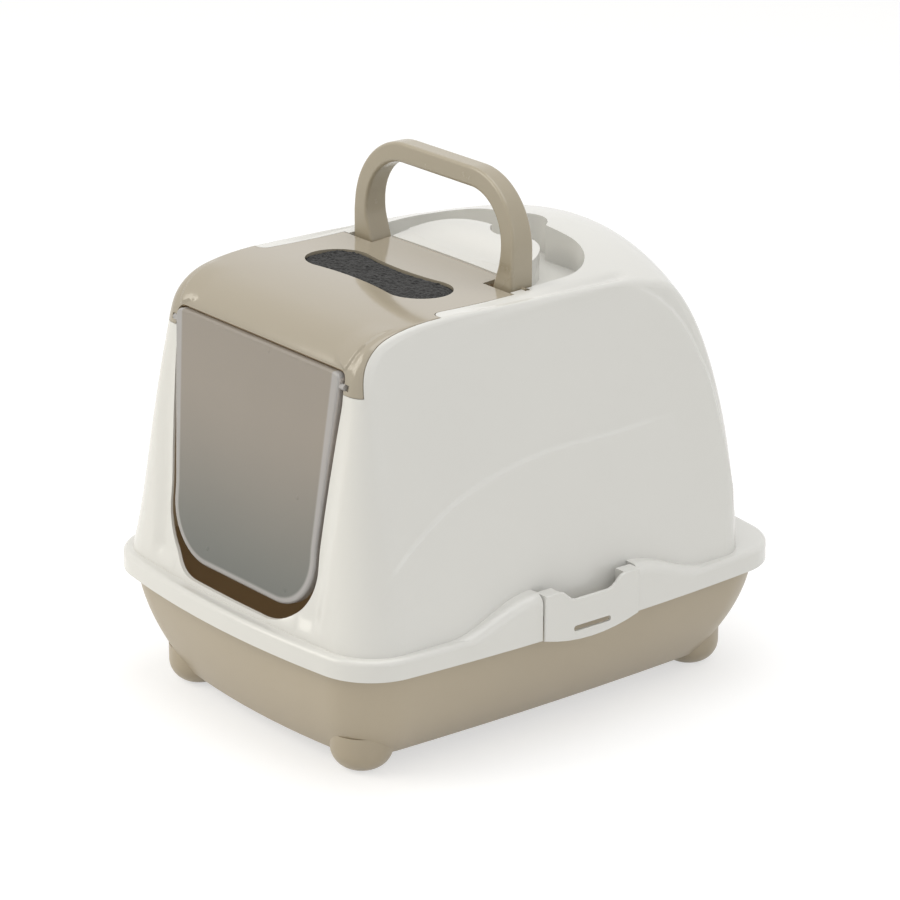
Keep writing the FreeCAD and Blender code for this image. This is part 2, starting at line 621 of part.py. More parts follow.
def build_hood(doc, sizes):
    """Domed hood with its rim band, doorway, lid opening and the recess for the folded handle."""
    wall = sizes["hood_wall"]
    low = rim_top(sizes) - wall
    outside = hood_form(doc, sizes, 0, low)
    inside = hood_form(doc, sizes, wall, low - sizes["overrun"])
    rim = rim_solid(sizes, 0).cut(clip_bays(sizes, 0, sizes["rim_bottom"] - sizes["overrun"]))
    rim_inside = rim_solid(sizes, wall)
    for bay in clip_bays(sizes, sizes["bay_wall"], low + sizes["flange_gap"]):
        rim_inside = rim_inside.cut(bay)
    shell = outside.fuse(rim).cut(inside.fuse(rim_inside))

    groove_low = sizes["groove_floor"] - sizes["groove_wall"]
    top = sizes["crest_height"] + sizes["overrun"]
    half = sizes["recess_width"] / 2
    front = -sizes["lid_notch"] + sizes["lid_gap"]
    end = sizes["recess_end"]
    corner = sizes["recess_corner"]
    wall_in = sizes["groove_wall"]
    well_place = Vector(0, (end + sizes["island_end"]) / 2, groove_low)
    block = prism(recess_outline(half + wall_in, front, end + wall_in, corner + wall_in, groove_low),
                  top - groove_low)
    block = block.fuse(Part.makeCylinder(sizes["finger_radius"] + wall_in, top - groove_low, well_place))
    shell = shell.fuse(block.common(outside))

    floor = sizes["groove_floor"]
    island = prism(recess_outline(sizes["island_width"] / 2, -sizes["island_front"], sizes["island_end"],
                                  sizes["island_corner"], groove_low), top - groove_low)
    groove = prism(recess_outline(half, front - sizes["overrun"], end, corner, floor), top - floor)
    groove = groove.common(slab((-half, front, floor), (half, end, top))).cut(island)
    well = Part.makeCylinder(sizes["finger_radius"], top - floor, well_place + Vector(0, 0, wall_in))
    under_island = prism(recess_outline(sizes["island_width"] / 2 - wall_in, wall_in - sizes["island_front"],
                                        sizes["island_end"] - wall_in, sizes["island_corner"] - wall_in,
                                        groove_low), sizes["island_height"] - wall_in - groove_low)
    well_wall = Part.makeCylinder(sizes["finger_radius"] + wall_in, top - groove_low, well_place)
    above_island = plan_slab(half, front, end, sizes["island_height"], top)
    tongue_space = plan_slab(sizes["lid_tongue_width"] / 2 + sizes["lid_gap"], front,
                             -sizes["island_front"], groove_low, top)
    shell = shell.cut([groove, well, under_island.cut(well_wall), above_island.common(island), tongue_space])
    shell = shell.cut([lid_region(sizes, sizes["lid_gap"]), doorway(sizes)])

    cheek_x = sizes["lid_rear_width"] / 2 + sizes["lid_gap"]
    cheek = slab((cheek_x, -sizes["lid_step"] + sizes["lid_corner"],
                  sizes["lid_hinge_height"] - sizes["cheek_depth"]),
                 (cheek_x + wall, -sizes["lid_notch"], sizes["roof_height"] - wall / 2))
    shell = shell.multiFuse(mirrored(cheek))
    clearance = sizes["pin_clearance"]
    rear_reach = sizes["lid_hinge_place"] - sizes["lid_notch"]
    low_reach = max(sizes["lid_ear_depth"], sizes["roof_height"] - sizes["lid_hinge_height"])
    sweep = math.hypot(rear_reach, low_reach) + sizes["lid_gap"]
    holes = mirrored(cross_pin(sweep, half - wall_in, cheek_x,
                               -sizes["lid_hinge_place"], sizes["lid_hinge_height"]))
    holes += mirrored(cross_pin(sizes["lid_pin_radius"] + clearance, cheek_x - wall, cheek_x + wall * 2,
                                -sizes["lid_hinge_place"], sizes["lid_hinge_height"]))
    holes += mirrored(cross_pin(sizes["handle_pin_radius"] + clearance, half - wall_in, half + wall_in * 2,
                                -sizes["handle_pivot_place"], sizes["handle_pivot_height"]))
    pivot_x = sizes["rim_width"] / 2 - sizes["clip_pivot_in"]
    pivot_z = rim_top(sizes) + sizes["swell_height"] - sizes["clip_pivot_down"]
    bore_length = sizes["bay_width"] + sizes["bay_wall"] * 4
    holes += mirrored(Part.makeCylinder(sizes["clip_pin_radius"] + clearance, bore_length,
                                        Vector(pivot_x, -bore_length / 2, pivot_z), Vector(0, 1, 0)))
    return shell.cut(holes).removeSplitter()


def build_lid(doc, sizes):
    """Curved lid over the front of the roof, with its legs beside the door and a pocket for the filter."""
    wall = sizes["lid_wall"]
    low = rim_top(sizes) - sizes["hood_wall"]
    form = hood_form(doc, sizes, 0, low)
    region = lid_region(sizes, 0)
    door_x = sizes["door_top_width"] / 2 + sizes["door_ear_gap"]
    head = slab((-door_x, -sizes["rim_length"] / 2, low), (door_x, -sizes["lid_step"], sizes["lip_bottom"]))
    head = head.makeFillet(sizes["lid_corner"], [
        edge for edge in head.Edges if runs_along(edge, "y") and edge.BoundBox.ZMin > sizes["leg_bottom"]])
    shell = form.cut(hood_form(doc, sizes, wall, low - sizes["overrun"])).common(region).cut(head)

    inside_form = form.common(region)
    ear_rear = -sizes["lid_notch"]
    ear_outer = sizes["lid_rear_width"] / 2
    hinge_ear = slab((ear_outer - sizes["lid_ear_wall"], ear_rear - sizes["lid_ear_length"],
                      sizes["lid_hinge_height"] - sizes["lid_ear_depth"]),
                     (ear_outer, ear_rear, sizes["roof_height"]))
    door_ear = slab((door_x, -sizes["rim_length"] / 2,
                     sizes["door_hinge_height"] - sizes["door_ear_height"]),
                    (door_x + sizes["door_ear_wall"], sizes["door_ear_depth"] - sizes["door_hinge_place"],
                     sizes["door_hinge_height"] + sizes["door_ear_height"]))
    pocket_grow = sizes["filter_margin"] + sizes["filter_gap"]
    pocket_low = sizes["filter_top"] - sizes["filter_thickness"]
    pocket_rise = sizes["crest_height"] - pocket_low
    pocket = prism(bean_outline(sizes, pocket_grow + sizes["pocket_wall"], pocket_low), pocket_rise)
    pocket = pocket.cut(prism(bean_outline(sizes, pocket_grow, pocket_low), pocket_rise))
    ribs = [shape.common(inside_form) for shape in mirrored(hinge_ear) + mirrored(door_ear) + [pocket]]
    shell = shell.multiFuse(ribs)

    pins = mirrored(cross_pin(sizes["lid_pin_radius"], ear_outer - sizes["lid_ear_wall"],
                              ear_outer + sizes["lid_gap"] + sizes["pin_reach"],
                              -sizes["lid_hinge_place"], sizes["lid_hinge_height"]))
    door_holes = mirrored(cross_pin(sizes["door_pin_radius"] + sizes["pin_clearance"],
                                    door_x - sizes["door_ear_gap"], door_x + sizes["door_ear_wall"] * 2,
                                    -sizes["door_hinge_place"], sizes["door_hinge_height"]))
    window = prism(bean_outline(sizes, 0, pocket_low), pocket_rise)
    return shell.multiFuse(pins).cut(door_holes + [window]).removeSplitter()


def build_filter_pad(doc, sizes):
    """Felt pad in the lid's pocket."""
    low = sizes["filter_top"] - sizes["filter_thickness"]
    return prism(bean_outline(sizes, sizes["filter_margin"], low), sizes["filter_thickness"])


def build_filter_retainer(doc, sizes):
    """Open frame that closes the pocket from below and carries the pad on its border and bars."""
    top = sizes["filter_top"] - sizes["filter_thickness"]
    low = top - sizes["retainer_thickness"]
    grow = sizes["filter_margin"] + sizes["filter_gap"] + sizes["pocket_wall"]
    plate = prism(bean_outline(sizes, grow, low), sizes["retainer_thickness"])
    opening = prism(bean_outline(sizes, grow - sizes["retainer_rim"], low), sizes["retainer_thickness"])
    place = -sizes["filter_place"]
    half = sizes["window_lobe"] + grow
    for share in RETAINER_BAR_SHARES:
        middle = share * sizes["window_length"] / 2
        bar = slab((middle - sizes["retainer_bar"] / 2, place - half, low),
                   (middle + sizes["retainer_bar"] / 2, place + half, top))
        opening = opening.cut(bar)
    return plate.cut(opening)


# Pieces built as bodies with sketches

def origin_plane(body, role):
    """One of a body's own origin planes."""
    return next(feature for feature in body.Origin.OriginFeatures if feature.Role == role)


def new_sketch(body, name, role):
    """Sketch on one of the body's origin planes."""
    sketch = body.newObject("Sketcher::SketchObject", name)
    sketch.AttachmentSupport = [(origin_plane(body, role), "")]
    sketch.MapMode = "FlatFace"
    return sketch


def pin_point(sketch, geometry, end, x, y):
    """Hold one point of a sketch at two lengths from the origin."""
    for kind, size in (("DistanceX", x), ("DistanceY", y)):
        index = sketch.addConstraint(Sketcher.Constraint(kind, -1, 1, geometry, end, float(size)))
        sketch.setExpression(f"Constraints[{index}]", size.formula)


def draw_polygon(sketch, points):
    """Closed outline of straight lines whose corners are bound to the sheet."""
    first = sketch.GeometryCount
    count = len(points)
    for index, (x, y) in enumerate(points):
        next_x, next_y = points[(index + 1) % count]
        sketch.addGeometry(Part.LineSegment(Vector(x, y, 0), Vector(next_x, next_y, 0)))
    for index, (x, y) in enumerate(points):
        following = first + (index + 1) % count
        sketch.addConstraint(Sketcher.Constraint("Coincident", first + index, 2, following, 1))
        pin_point(sketch, first + index, 1, x, y)


def draw_circle(sketch, radius):
    """Circle round the sketch's origin."""
    index = sketch.addGeometry(Part.Circle(Vector(0, 0, 0), Vector(0, 0, 1), float(radius)))
    sketch.addConstraint(Sketcher.Constraint("Coincident", index, 3, -1, 1))
    held = sketch.addConstraint(Sketcher.Constraint("Radius", index, float(radius)))
    sketch.setExpression(f"Constraints[{held}]", radius.formula)


def pad(body, sketch, length, start=None, middle=False, turned=False):
    """Pad of a sketch, moved along its normal to where it starts."""
    feature = body.newObject("PartDesign::Pad", sketch.Name + "_pad")
    feature.Profile = sketch
    if start is not None:
        bind(sketch, "AttachmentOffset.Base.z", start)
    bind(feature, "Length", length)
    feature.Midplane = middle
    feature.Reversed = turned
    body.Document.recompute()
    return feature


def pocket_through(body, sketch):
    """Pocket of a sketch through the whole body, both ways."""
    feature = body.newObject("PartDesign::Pocket", sketch.Name + "_pocket")
    feature.Profile = sketch
    feature.Type = "ThroughAll"
    feature.Midplane = True
    body.Document.recompute()
    return feature


def round_edges(body, radius, test):
    """Fillet on the edges of the body's last feature that pass the test."""
    base = body.Tip
    names = [f"Edge{index}" for index, edge in enumerate(base.Shape.Edges, start=1) if test(edge)]
    feature = body.newObject("PartDesign::Fillet", body.Name + "_round")
    feature.Base = (base, names)
    bind(feature, "Radius", radius)
    body.Document.recompute()
    return feature


def runs_along(edge, axis):
    """Whether a straight edge runs along an axis."""
    box = edge.BoundBox
    spans = {"x": box.XLength, "y": box.YLength, "z": box.ZLength}
    longest = spans.pop(axis)
    return all(span < longest / 1000 for span in spans.values())


def build_handle(doc, sizes):
    """Bail handle that stands on two flared feet and turns on stubs in the groove's walls."""
    body = doc.addObject("PartDesign::Body", "carry_handle")
    half = sizes["handle_width"] / 2
    bar = sizes["handle_bar"]
    depth = sizes["handle_depth"]
    top = sizes["handle_top"] - sizes["handle_pivot_height"]
    bottom = -depth / 2
    flare = bottom + sizes["handle_flare"]
    inner_foot = half - sizes["handle_foot_width"]
    right = [(half, top), (half, bottom), (inner_foot, bottom), (half - bar, flare), (half - bar, top - bar)]
    outline = right + [(-x, y) for x, y in reversed(right)]
    sketch = new_sketch(body, "handle_outline", "XZ_Plane")
    draw_polygon(sketch, outline)
    pad(body, sketch, depth, middle=True)
    taper = new_sketch(body, "handle_taper", "YZ_Plane")
    draw_polygon(taper, [(bottom, flare), (bottom + sizes["handle_taper"], top), (bottom, top)])
    pocket_through(body, taper)

    def corner_at(x, z):
        def test(edge):
            middle = edge.BoundBox.Center
            near = abs(abs(middle.x) - x) < bar / 10 and abs(middle.z - z) < bar / 10
            return runs_along(edge, "y") and near
        return test

    round_edges(body, sizes["handle_round"], corner_at(half, top))
    round_edges(body, sizes["handle_round"] - bar, corner_at(half - bar, top - bar))
    round_edges(body, sizes["handle_flare"], corner_at(half - bar, flare))

    def on_bottom(edge):
        return runs_along(edge, "x") and edge.BoundBox.ZMax < bottom + bar / 10

    round_edges(body, sizes["handle_foot_round"], on_bottom)

    def long_edge(edge):
        box = edge.BoundBox
        across_leg = runs_along(edge, "x") and abs(box.Center.z - flare) < bar / 2
        above_foot = box.ZMax > bottom + depth / 2 + bar / 10
        return above_foot and not across_leg and not runs_along(edge, "y")

    round_edges(body, sizes["handle_edge"], long_edge)
    root = half - sizes["stub_root"]
    stub_end = sizes["recess_width"] / 2 + sizes["pin_reach"]
    for name, start, turned in (("right_stub", root, False), ("left_stub", -root, True)):
        stub = new_sketch(body, name, "YZ_Plane")
        draw_circle(stub, sizes["handle_pin_radius"])
        pad(body, stub, stub_end - root, start=start, turned=turned)
    bind(body, "Placement.Base.y", -sizes["handle_pivot_place"])
    bind(body, "Placement.Base.z", sizes["handle_pivot_height"])
    return body


def build_door(doc, sizes):
    """Flap door: a panel with a rim behind it, hung on two stubs in the lid's ears."""
    body = doc.addObject("PartDesign::Body", "flap_door")
    top = sizes["door_rise"]
    bottom = -sizes["door_drop"]
    knee = bottom + sizes["door_knee"]
    half_top = sizes["door_top_width"] / 2
    half_low = sizes["door_low_width"] / 2
    border = sizes["door_border"]

    def outline(inset):
        low_x = half_low - inset
        right = [(half_top - inset, top - inset), (low_x, knee), (low_x, bottom + inset)]
        return right + [(-x, y) for x, y in reversed(right)]

    def lower_corner(inset):
        def test(edge):
            middle = edge.BoundBox.Center
            low = middle.z < bottom + inset + sizes["door_thickness"]
            side = abs(abs(middle.x) - (half_low - inset)) < sizes["door_thickness"] / 10
            return runs_along(edge, "y") and low and side
        return test

    def upper_corner(edge):
        middle = edge.BoundBox.Center
        near = sizes["door_thickness"] / 10
        return runs_along(edge, "y") and abs(middle.z - top) < near and abs(abs(middle.x) - half_top) < near

    def on_face(edge):
        return edge.BoundBox.YMax < sizes["door_thickness"] / 10 - sizes["door_proud"]

    frame_depth = sizes["door_thickness"] + sizes["door_border_height"]
    frame = new_sketch(body, "door_frame", "XZ_Plane")
    draw_polygon(frame, outline(border * 0))
    pad(body, frame, frame_depth, start=sizes["door_proud"] - frame_depth)
    panel = new_sketch(body, "door_hollow", "XZ_Plane")
    draw_polygon(panel, outline(border))
    bind(panel, "AttachmentOffset.Base.z", sizes["door_proud"] - sizes["door_thickness"])
    cut = body.newObject("PartDesign::Pocket", "door_hollow_pocket")
    cut.Profile = panel
    bind(cut, "Length", frame_depth)
    doc.recompute()
    round_edges(body, sizes["door_corner"] - border, lower_corner(border))
    round_edges(body, sizes["door_corner"], lower_corner(border * 0))
    round_edges(body, sizes["door_top_corner"], upper_corner)
    round_edges(body, sizes["door_edge_round"], on_face)
    root = half_top - sizes["stub_root"]
    stub_length = sizes["stub_root"] + sizes["door_ear_gap"] + sizes["pin_reach"]
    for name, start, turned in (("right_stub", root, False), ("left_stub", -root, True)):
        stub = new_sketch(body, "door_" + name, "YZ_Plane")
        draw_circle(stub, sizes["door_pin_radius"])
        pad(body, stub, stub_length, start=start, turned=turned)
    bind(body, "Placement.Base.y", -sizes["door_hinge_place"])
    bind(body, "Placement.Base.z", sizes["door_hinge_height"])
    body.Placement.Rotation = FreeCAD.Rotation(Vector(1, 0, 0), 0)
    lean = sizes["door_lean"] / sizes["door_drop"]
    body.setExpression("Placement.Rotation.Angle", f"-atan({lean.formula})")
    return body


def build_clip(doc, sizes, name, half_turn):
    """Side clip: a plate with two ears that turn in the rim's bay, a finger slot and a flange hook."""
    body = doc.addObject("PartDesign::Body", name)
    pivot_z = rim_top(sizes) + sizes["swell_height"] - sizes["clip_pivot_down"]
    half = sizes["bay_width"] / 2 - sizes["clip_gap"]
    top = sizes["clip_pivot_down"] - sizes["clip_gap"]
    notch = top - sizes["ear_height"]
    end_low = sizes["rim_bottom"] - sizes["clip_end_drop"] - pivot_z
    low = sizes["rim_bottom"] - sizes["clip_drop"] - pivot_z
    face = sizes["clip_pivot_in"] + sizes["clip_proud"]
    ear_inner = half - sizes["ear_width"]
    right = [(half, end_low), (half, top)]
    right += [(ear_inner - sizes["ear_slope"] * along, notch + sizes["ear_height"] * up)
              for along, up in SWELL_SHARES]
    left = [(-x, y) for x, y in reversed(right)]
    lower = [(half * share, low + (end_low - low) * share ** 2) for share in CLIP_EDGE_SHARES]
    plate = new_sketch(body, name + "_plate", "YZ_Plane")
    draw_polygon(plate, right + left + lower)
    pad(body, plate, sizes["clip_thickness"], start=face - sizes["clip_thickness"])

    def outer_edge(edge):
        return edge.BoundBox.XMin > face - sizes["clip_thickness"] / 10

    round_edges(body, sizes["clip_round"], outer_edge)

    ear_low = notch
    ears = [(half, ear_low), (half, top), (ear_inner, top), (ear_inner, ear_low)]
    for side, points in (("_rear_ear", ears), ("_front_ear", [(-x, y) for x, y in ears])):
        ear = new_sketch(body, name + side, "YZ_Plane")
        draw_polygon(ear, points)
        pad(body, ear, sizes["ear_depth"] - sizes["clip_thickness"] * 3 / 4, start=face - sizes["ear_depth"])

    flange_low = rim_top(sizes) - sizes["hood_wall"] - sizes["flange_thickness"]
    hook_top = flange_low - sizes["hook_gap"] - pivot_z
    hook_x = sizes["clip_pivot_in"] - sizes["hood_wall"] - sizes["flange_gap"] + sizes["hook_stop"]
    hook = new_sketch(body, name + "_hook", "YZ_Plane")
    hook_half = sizes["hook_length"] / 2
    hook_low = hook_top - sizes["hook_height"]
    draw_polygon(hook, [(hook_half, hook_low), (hook_half, hook_top),
                        (-hook_half, hook_top), (-hook_half, hook_low)])
    pad(body, hook, face - sizes["clip_thickness"] / 2 - hook_x, start=hook_x)

    slot_low = low + sizes["slot_rise"]
    slot_high = slot_low + sizes["slot_height"]
    slot_half = sizes["slot_length"] / 2
    slot = new_sketch(body, name + "_slot", "YZ_Plane")
    draw_polygon(slot, [(slot_half, slot_low), (slot_half, slot_high),
                        (-slot_half, slot_high), (-slot_half, slot_low)])
    pocket_through(body, slot)

    def slot_corner(edge):
        middle = edge.BoundBox.Center
        across = abs(abs(middle.y) - slot_half) < sizes["clip_thickness"] / 10
        return runs_along(edge, "x") and across and slot_low / 2 > middle.z

    round_edges(body, sizes["slot_height"] * SLOT_ROUND_SHARE, slot_corner)
    root = half - sizes["stub_root"]
    stub = sizes["stub_root"] + sizes["clip_gap"] + sizes["pin_reach"]
    for side, start, turned in (("front", root, False), ("rear", -root, True)):
        pin = new_sketch(body, name + "_" + side + "_pin", "XZ_Plane")
        draw_circle(pin, sizes["clip_pin_radius"])
        pad(body, pin, stub, start=start, turned=turned)
    pivot_x = sizes["rim_width"] / 2 - sizes["clip_pivot_in"]
    bind(body, "Placement.Base.x", -pivot_x if half_turn else pivot_x)
    bind(body, "Placement.Base.z", pivot_z)
    if half_turn:
        body.Placement.Rotation = FreeCAD.Rotation(Vector(0, 0, 1), 180)
    return body


def add_shell(doc, name, shape):
    """Document object for a moulded shell."""
    feature = doc.addObject("Part::Feature", name)
    feature.Shape = shape
    feature.Placement = FreeCAD.Placement()
    return feature


def check(doc, pieces):
    """Stop if any object failed or any piece is not one sound solid."""
    for thing in doc.Objects:
        if "Invalid" in thing.State or "Error" in thing.State:
            raise RuntimeError(f"{thing.Name} failed: {thing.State}")
    for piece in pieces:
        shape = piece.Shape
        if shape.isNull() or not shape.isValid() or len(shape.Solids) != 1:
            raise RuntimeError(f"{piece.Label} is not one sound solid: {len(shape.Solids)} solids")


def main():
    """Build every piece and write each one to its own file."""
    doc = FreeCAD.newDocument("litter_box")
    sizes = fill_sheet(doc)
    shells = (
        ("tray", build_tray),
        ("hood", build_hood),
        ("lid", build_lid),
        ("filter_pad", build_filter_pad),
        ("filter_retainer", build_filter_retainer),
    )
    pieces = [add_shell(doc, name, build(doc, sizes)) for name, build in shells]
    pieces.append(build_handle(doc, sizes))
    pieces.append(build_door(doc, sizes))
    pieces.append(build_clip(doc, sizes, "clip_right", False))
    pieces.append(build_clip(doc, sizes, "clip_left", True))
    doc.recompute()
    check(doc, pieces)
    os.makedirs("parts", exist_ok=True)
    for piece in pieces:
        piece.Shape.exportStep(f"parts/{piece.Label}.step")


main()
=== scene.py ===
"""Looks of a hooded litter box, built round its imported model.

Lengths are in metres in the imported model's frame: +Z is up and the flap door faces -Y.
Tables of places on the object are written in millimetres and scaled by MM.
"""

import logging
import math
from dataclasses import dataclass, field, replace
from enum import Enum

import bmesh
import bpy
import numpy as np
from mathutils import Matrix, Vector
from mathutils.bvhtree import BVHTree


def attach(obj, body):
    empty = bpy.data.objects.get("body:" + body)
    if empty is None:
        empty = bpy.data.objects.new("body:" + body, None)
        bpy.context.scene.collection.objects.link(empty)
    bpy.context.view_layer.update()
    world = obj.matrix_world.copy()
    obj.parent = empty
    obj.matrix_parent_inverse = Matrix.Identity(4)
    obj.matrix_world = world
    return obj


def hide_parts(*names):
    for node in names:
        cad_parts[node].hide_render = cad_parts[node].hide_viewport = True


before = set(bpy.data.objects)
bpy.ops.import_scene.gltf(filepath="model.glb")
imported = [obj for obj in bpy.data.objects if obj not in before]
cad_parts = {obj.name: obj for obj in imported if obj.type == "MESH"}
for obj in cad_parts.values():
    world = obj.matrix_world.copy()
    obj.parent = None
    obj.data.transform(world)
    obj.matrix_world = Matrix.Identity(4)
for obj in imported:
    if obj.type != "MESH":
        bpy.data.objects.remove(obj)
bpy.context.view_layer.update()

MM = 0.001
# Points closer than this are one point, and slopes are measured over this step.
MERGE = 1e-6
SLOPE_STEP = 0.3 * MM
# A shift's slope past this is the edge of what it moves, and is left out of the shading.
STEEPEST = 2.0
# A line stays fine within this many of its widths, and then edges grow by this share of the distance.
FINE_WIDTHS = 2.5
COARSEN_SHARE = 0.5
# Edges on a shifted wall, as a multiple of the finest edges.
SHIFT_EDGES = 2.2
LOG = logging.getLogger("litter_box")

Array = np.ndarray
Point = tuple[float, float, float]
Colour = tuple[float, float, float]


class Profile(Enum):
    """Cross-section of a line moulded into a wall."""

    STEP = "one side stands proud and eases back"
    RIDGE = "rounded bead"
    GROOVE = "rounded hollow"


class Sheen(Enum):
    """Finish from the tool: roughness, its spread, grain per metre, grain depth in metres, clear skin."""

    GLOSS = (0.20, 0.08, 500.0, 0.010 * MM, 0.10)
    POLISHED = (0.13, 0.06, 500.0, 0.008 * MM, 0.30)
    SATIN = (0.26, 0.08, 900.0, 0.020 * MM, 0.20)
    GRAINED = (0.40, 0.10, 1500.0, 0.050 * MM, 0.05)


# Surfaces worked out as whole arrays

def smooth_step(low: float, high: float, values: Array) -> Array:
    """Ease from 0 at low to 1 at high with flat ends: 3t^2 - 2t^3.

    Args:
        low: value where the ease starts.
        high: value where it ends.
        values: any array.

    Returns:
        Array of the same shape, from 0 to 1.
    """
    t = np.clip((values - low) / (high - low), 0.0, 1.0)
    return t * t * (3.0 - 2.0 * t)


def smooth_path(points: Array, per_span: int = 10) -> Array:
    """Catmull-Rom curve: each span blends four neighbours with cubic weights.

    Args:
        points: control points, one row each.
        per_span: samples on each span.

    Returns:
        The sampled curve, one row each, ending on the last control point.
    """
    ends = np.vstack([2 * points[0] - points[1], points, 2 * points[-1] - points[-2]])
    t = np.linspace(0.0, 1.0, per_span, endpoint=False)[None, :, None]
    a, b, c, d = (ends[i:len(ends) - 3 + i][:, None, :] for i in range(4))
    bend = (2 * a - 5 * b + 4 * c - d) * t ** 2
    twist = (3 * b - a - 3 * c + d) * t ** 3
    curve = 0.5 * (2 * b + (c - a) * t + bend + twist)
    return np.vstack([curve.reshape(-1, points.shape[1]), points[-1:]])


def nearest_on_path(points: Array, path: Array) -> tuple[Array, Array, Array]:
    """Foot of the perpendicular from every point to a polyline.

    Each point is dropped on every segment, the share along the segment is held
    between 0 and 1, and the closest foot is kept.

    Args:
        points: N rows of x, y, z.
        path: M rows of x, y, z.

    Returns:
        Offsets from foot to point, shares of the path's length, unit tangents there.
    """
    start, run = path[:-1], np.diff(path, axis=0)
    length = np.linalg.norm(run, axis=1)
    along = np.concatenate([[0.0], np.cumsum(length)])
    t = np.clip(((points @ run.T) - np.sum(start * run, axis=1)) / length ** 2, 0.0, 1.0)
    gap = np.zeros_like(t)
    for axis in range(3):
        gap += (points[:, axis:axis + 1] - start[:, axis] - t * run[:, axis]) ** 2
    best = np.argmin(gap, axis=1)
    share = t[np.arange(len(points)), best]
    offset = points - start[best] - share[:, None] * run[best]
    place = (along[best] + share * length[best]) / along[-1]
    return offset, place, (run / length[:, None])[best]


def grid_faces(rows: int, columns: int, round_rows: bool = False, round_columns: bool = False) -> Array:
    """Quads of a grid of rows x columns points, joined end to end where it goes round.

    Args:
        rows: points along the first parameter.
        columns: points along the second parameter.
        round_rows: the last row joins the first.
        round_columns: the last column joins the first.

    Returns:
        One row of four point numbers for each quad.
    """
    i = np.arange(rows if round_rows else rows - 1)[:, None]
    j = np.arange(columns if round_columns else columns - 1)[None, :]
    below, beside = (i + 1) % rows, (j + 1) % columns
    corners = [i * columns + j, below * columns + j, below * columns + beside, i * columns + beside]
    return np.stack([np.broadcast_to(c, (i.size, j.size)).ravel() for c in corners], axis=1)


def new_piece(name: str, points: Array, faces: Array, smooth: bool = True) -> bpy.types.Object:
    """Object at the origin from points in the model's frame, merged where they meet.

    Args:
        name: name of the piece.
        points: rows of x, y, z.
        faces: rows of point numbers.
        smooth: shade it smooth.

    Returns:
        The linked object.
    """
    mesh = bpy.data.meshes.new(name)
    mesh.from_pydata(points.reshape(-1, 3).tolist(), [], faces.tolist())
    work = bmesh.new()
    work.from_mesh(mesh)
    bmesh.ops.remove_doubles(work, verts=work.verts, dist=MERGE)
    bmesh.ops.recalc_face_normals(work, faces=work.faces)
    work.to_mesh(mesh)
    work.free()
    mesh.polygons.foreach_set("use_smooth", np.full(len(mesh.polygons), smooth))
    piece = bpy.data.objects.new(name, mesh)
    bpy.context.scene.collection.objects.link(piece)
    return piece


# Lines moulded into the walls

@dataclass(frozen=True)
class MouldedLine:
    """A soft line moulded into a wall, the same on both sides of the box.

    The height at a point is peak x ends x section, where ends fades in and out along
    the path and section is a function of the distance from it.
    """

    path: tuple[Point, ...]
    facing: Point
    profile: Profile
    peak: float
    width: float
    decay: float = 0.0
    fades: tuple[float, float] = (0.2, 0.2)

    def settled(self, wall: BVHTree) -> "MouldedLine":
        """The same line with its path dropped on the nearest points of a wall."""
        nearest = [wall.find_nearest(Vector(point) * MM)[0] / MM for point in self.path]
        return replace(self, path=tuple(tuple(point) for point in nearest))

    def curve(self) -> Array:
        """The path as a smooth curve in metres."""
        return smooth_path(np.array(self.path)) * MM

    def reach(self) -> float:
        """Distance in metres past which the line leaves the wall alone."""
        return max(self.decay, 3 * self.width) * MM

    def heights(self, points: Array, normals: Array) -> Array:
        """Height of the line above the wall.

        Args:
            points: places on the wall, with x taken on the right side.
            normals: the wall's own normals there.

        Returns:
            Heights in metres along the normals.
        """
        found = np.zeros(len(points))
        curve = self.curve()
        reach = self.reach()
        facing = np.array(self.facing) / np.linalg.norm(self.facing)
        inside = np.all((points > curve.min(0) - reach) & (points < curve.max(0) + reach), axis=1)
        inside &= normals @ facing > 0.2
        if not inside.any():
            return found
        offset, place, tangent = nearest_on_path(points[inside], curve)
        ends = smooth_step(0.0, self.fades[0], place) * (1 - smooth_step(1 - self.fades[1], 1.0, place))
        turned = smooth_step(0.2, 0.5, normals[inside] @ facing)
        width = self.width * MM
        if self.profile is Profile.STEP:
            beside = np.sum(offset * np.cross(facing, tangent), axis=1)
            section = smooth_step(-width, width, beside) * (1 - smooth_step(0.0, self.decay * MM, beside))
        else:
            sign = 1 if self.profile is Profile.RIDGE else -1
            section = sign * np.exp(-np.sum(offset ** 2, axis=1) / width ** 2)
        found[inside] = self.peak * MM * ends * turned * section
        return found


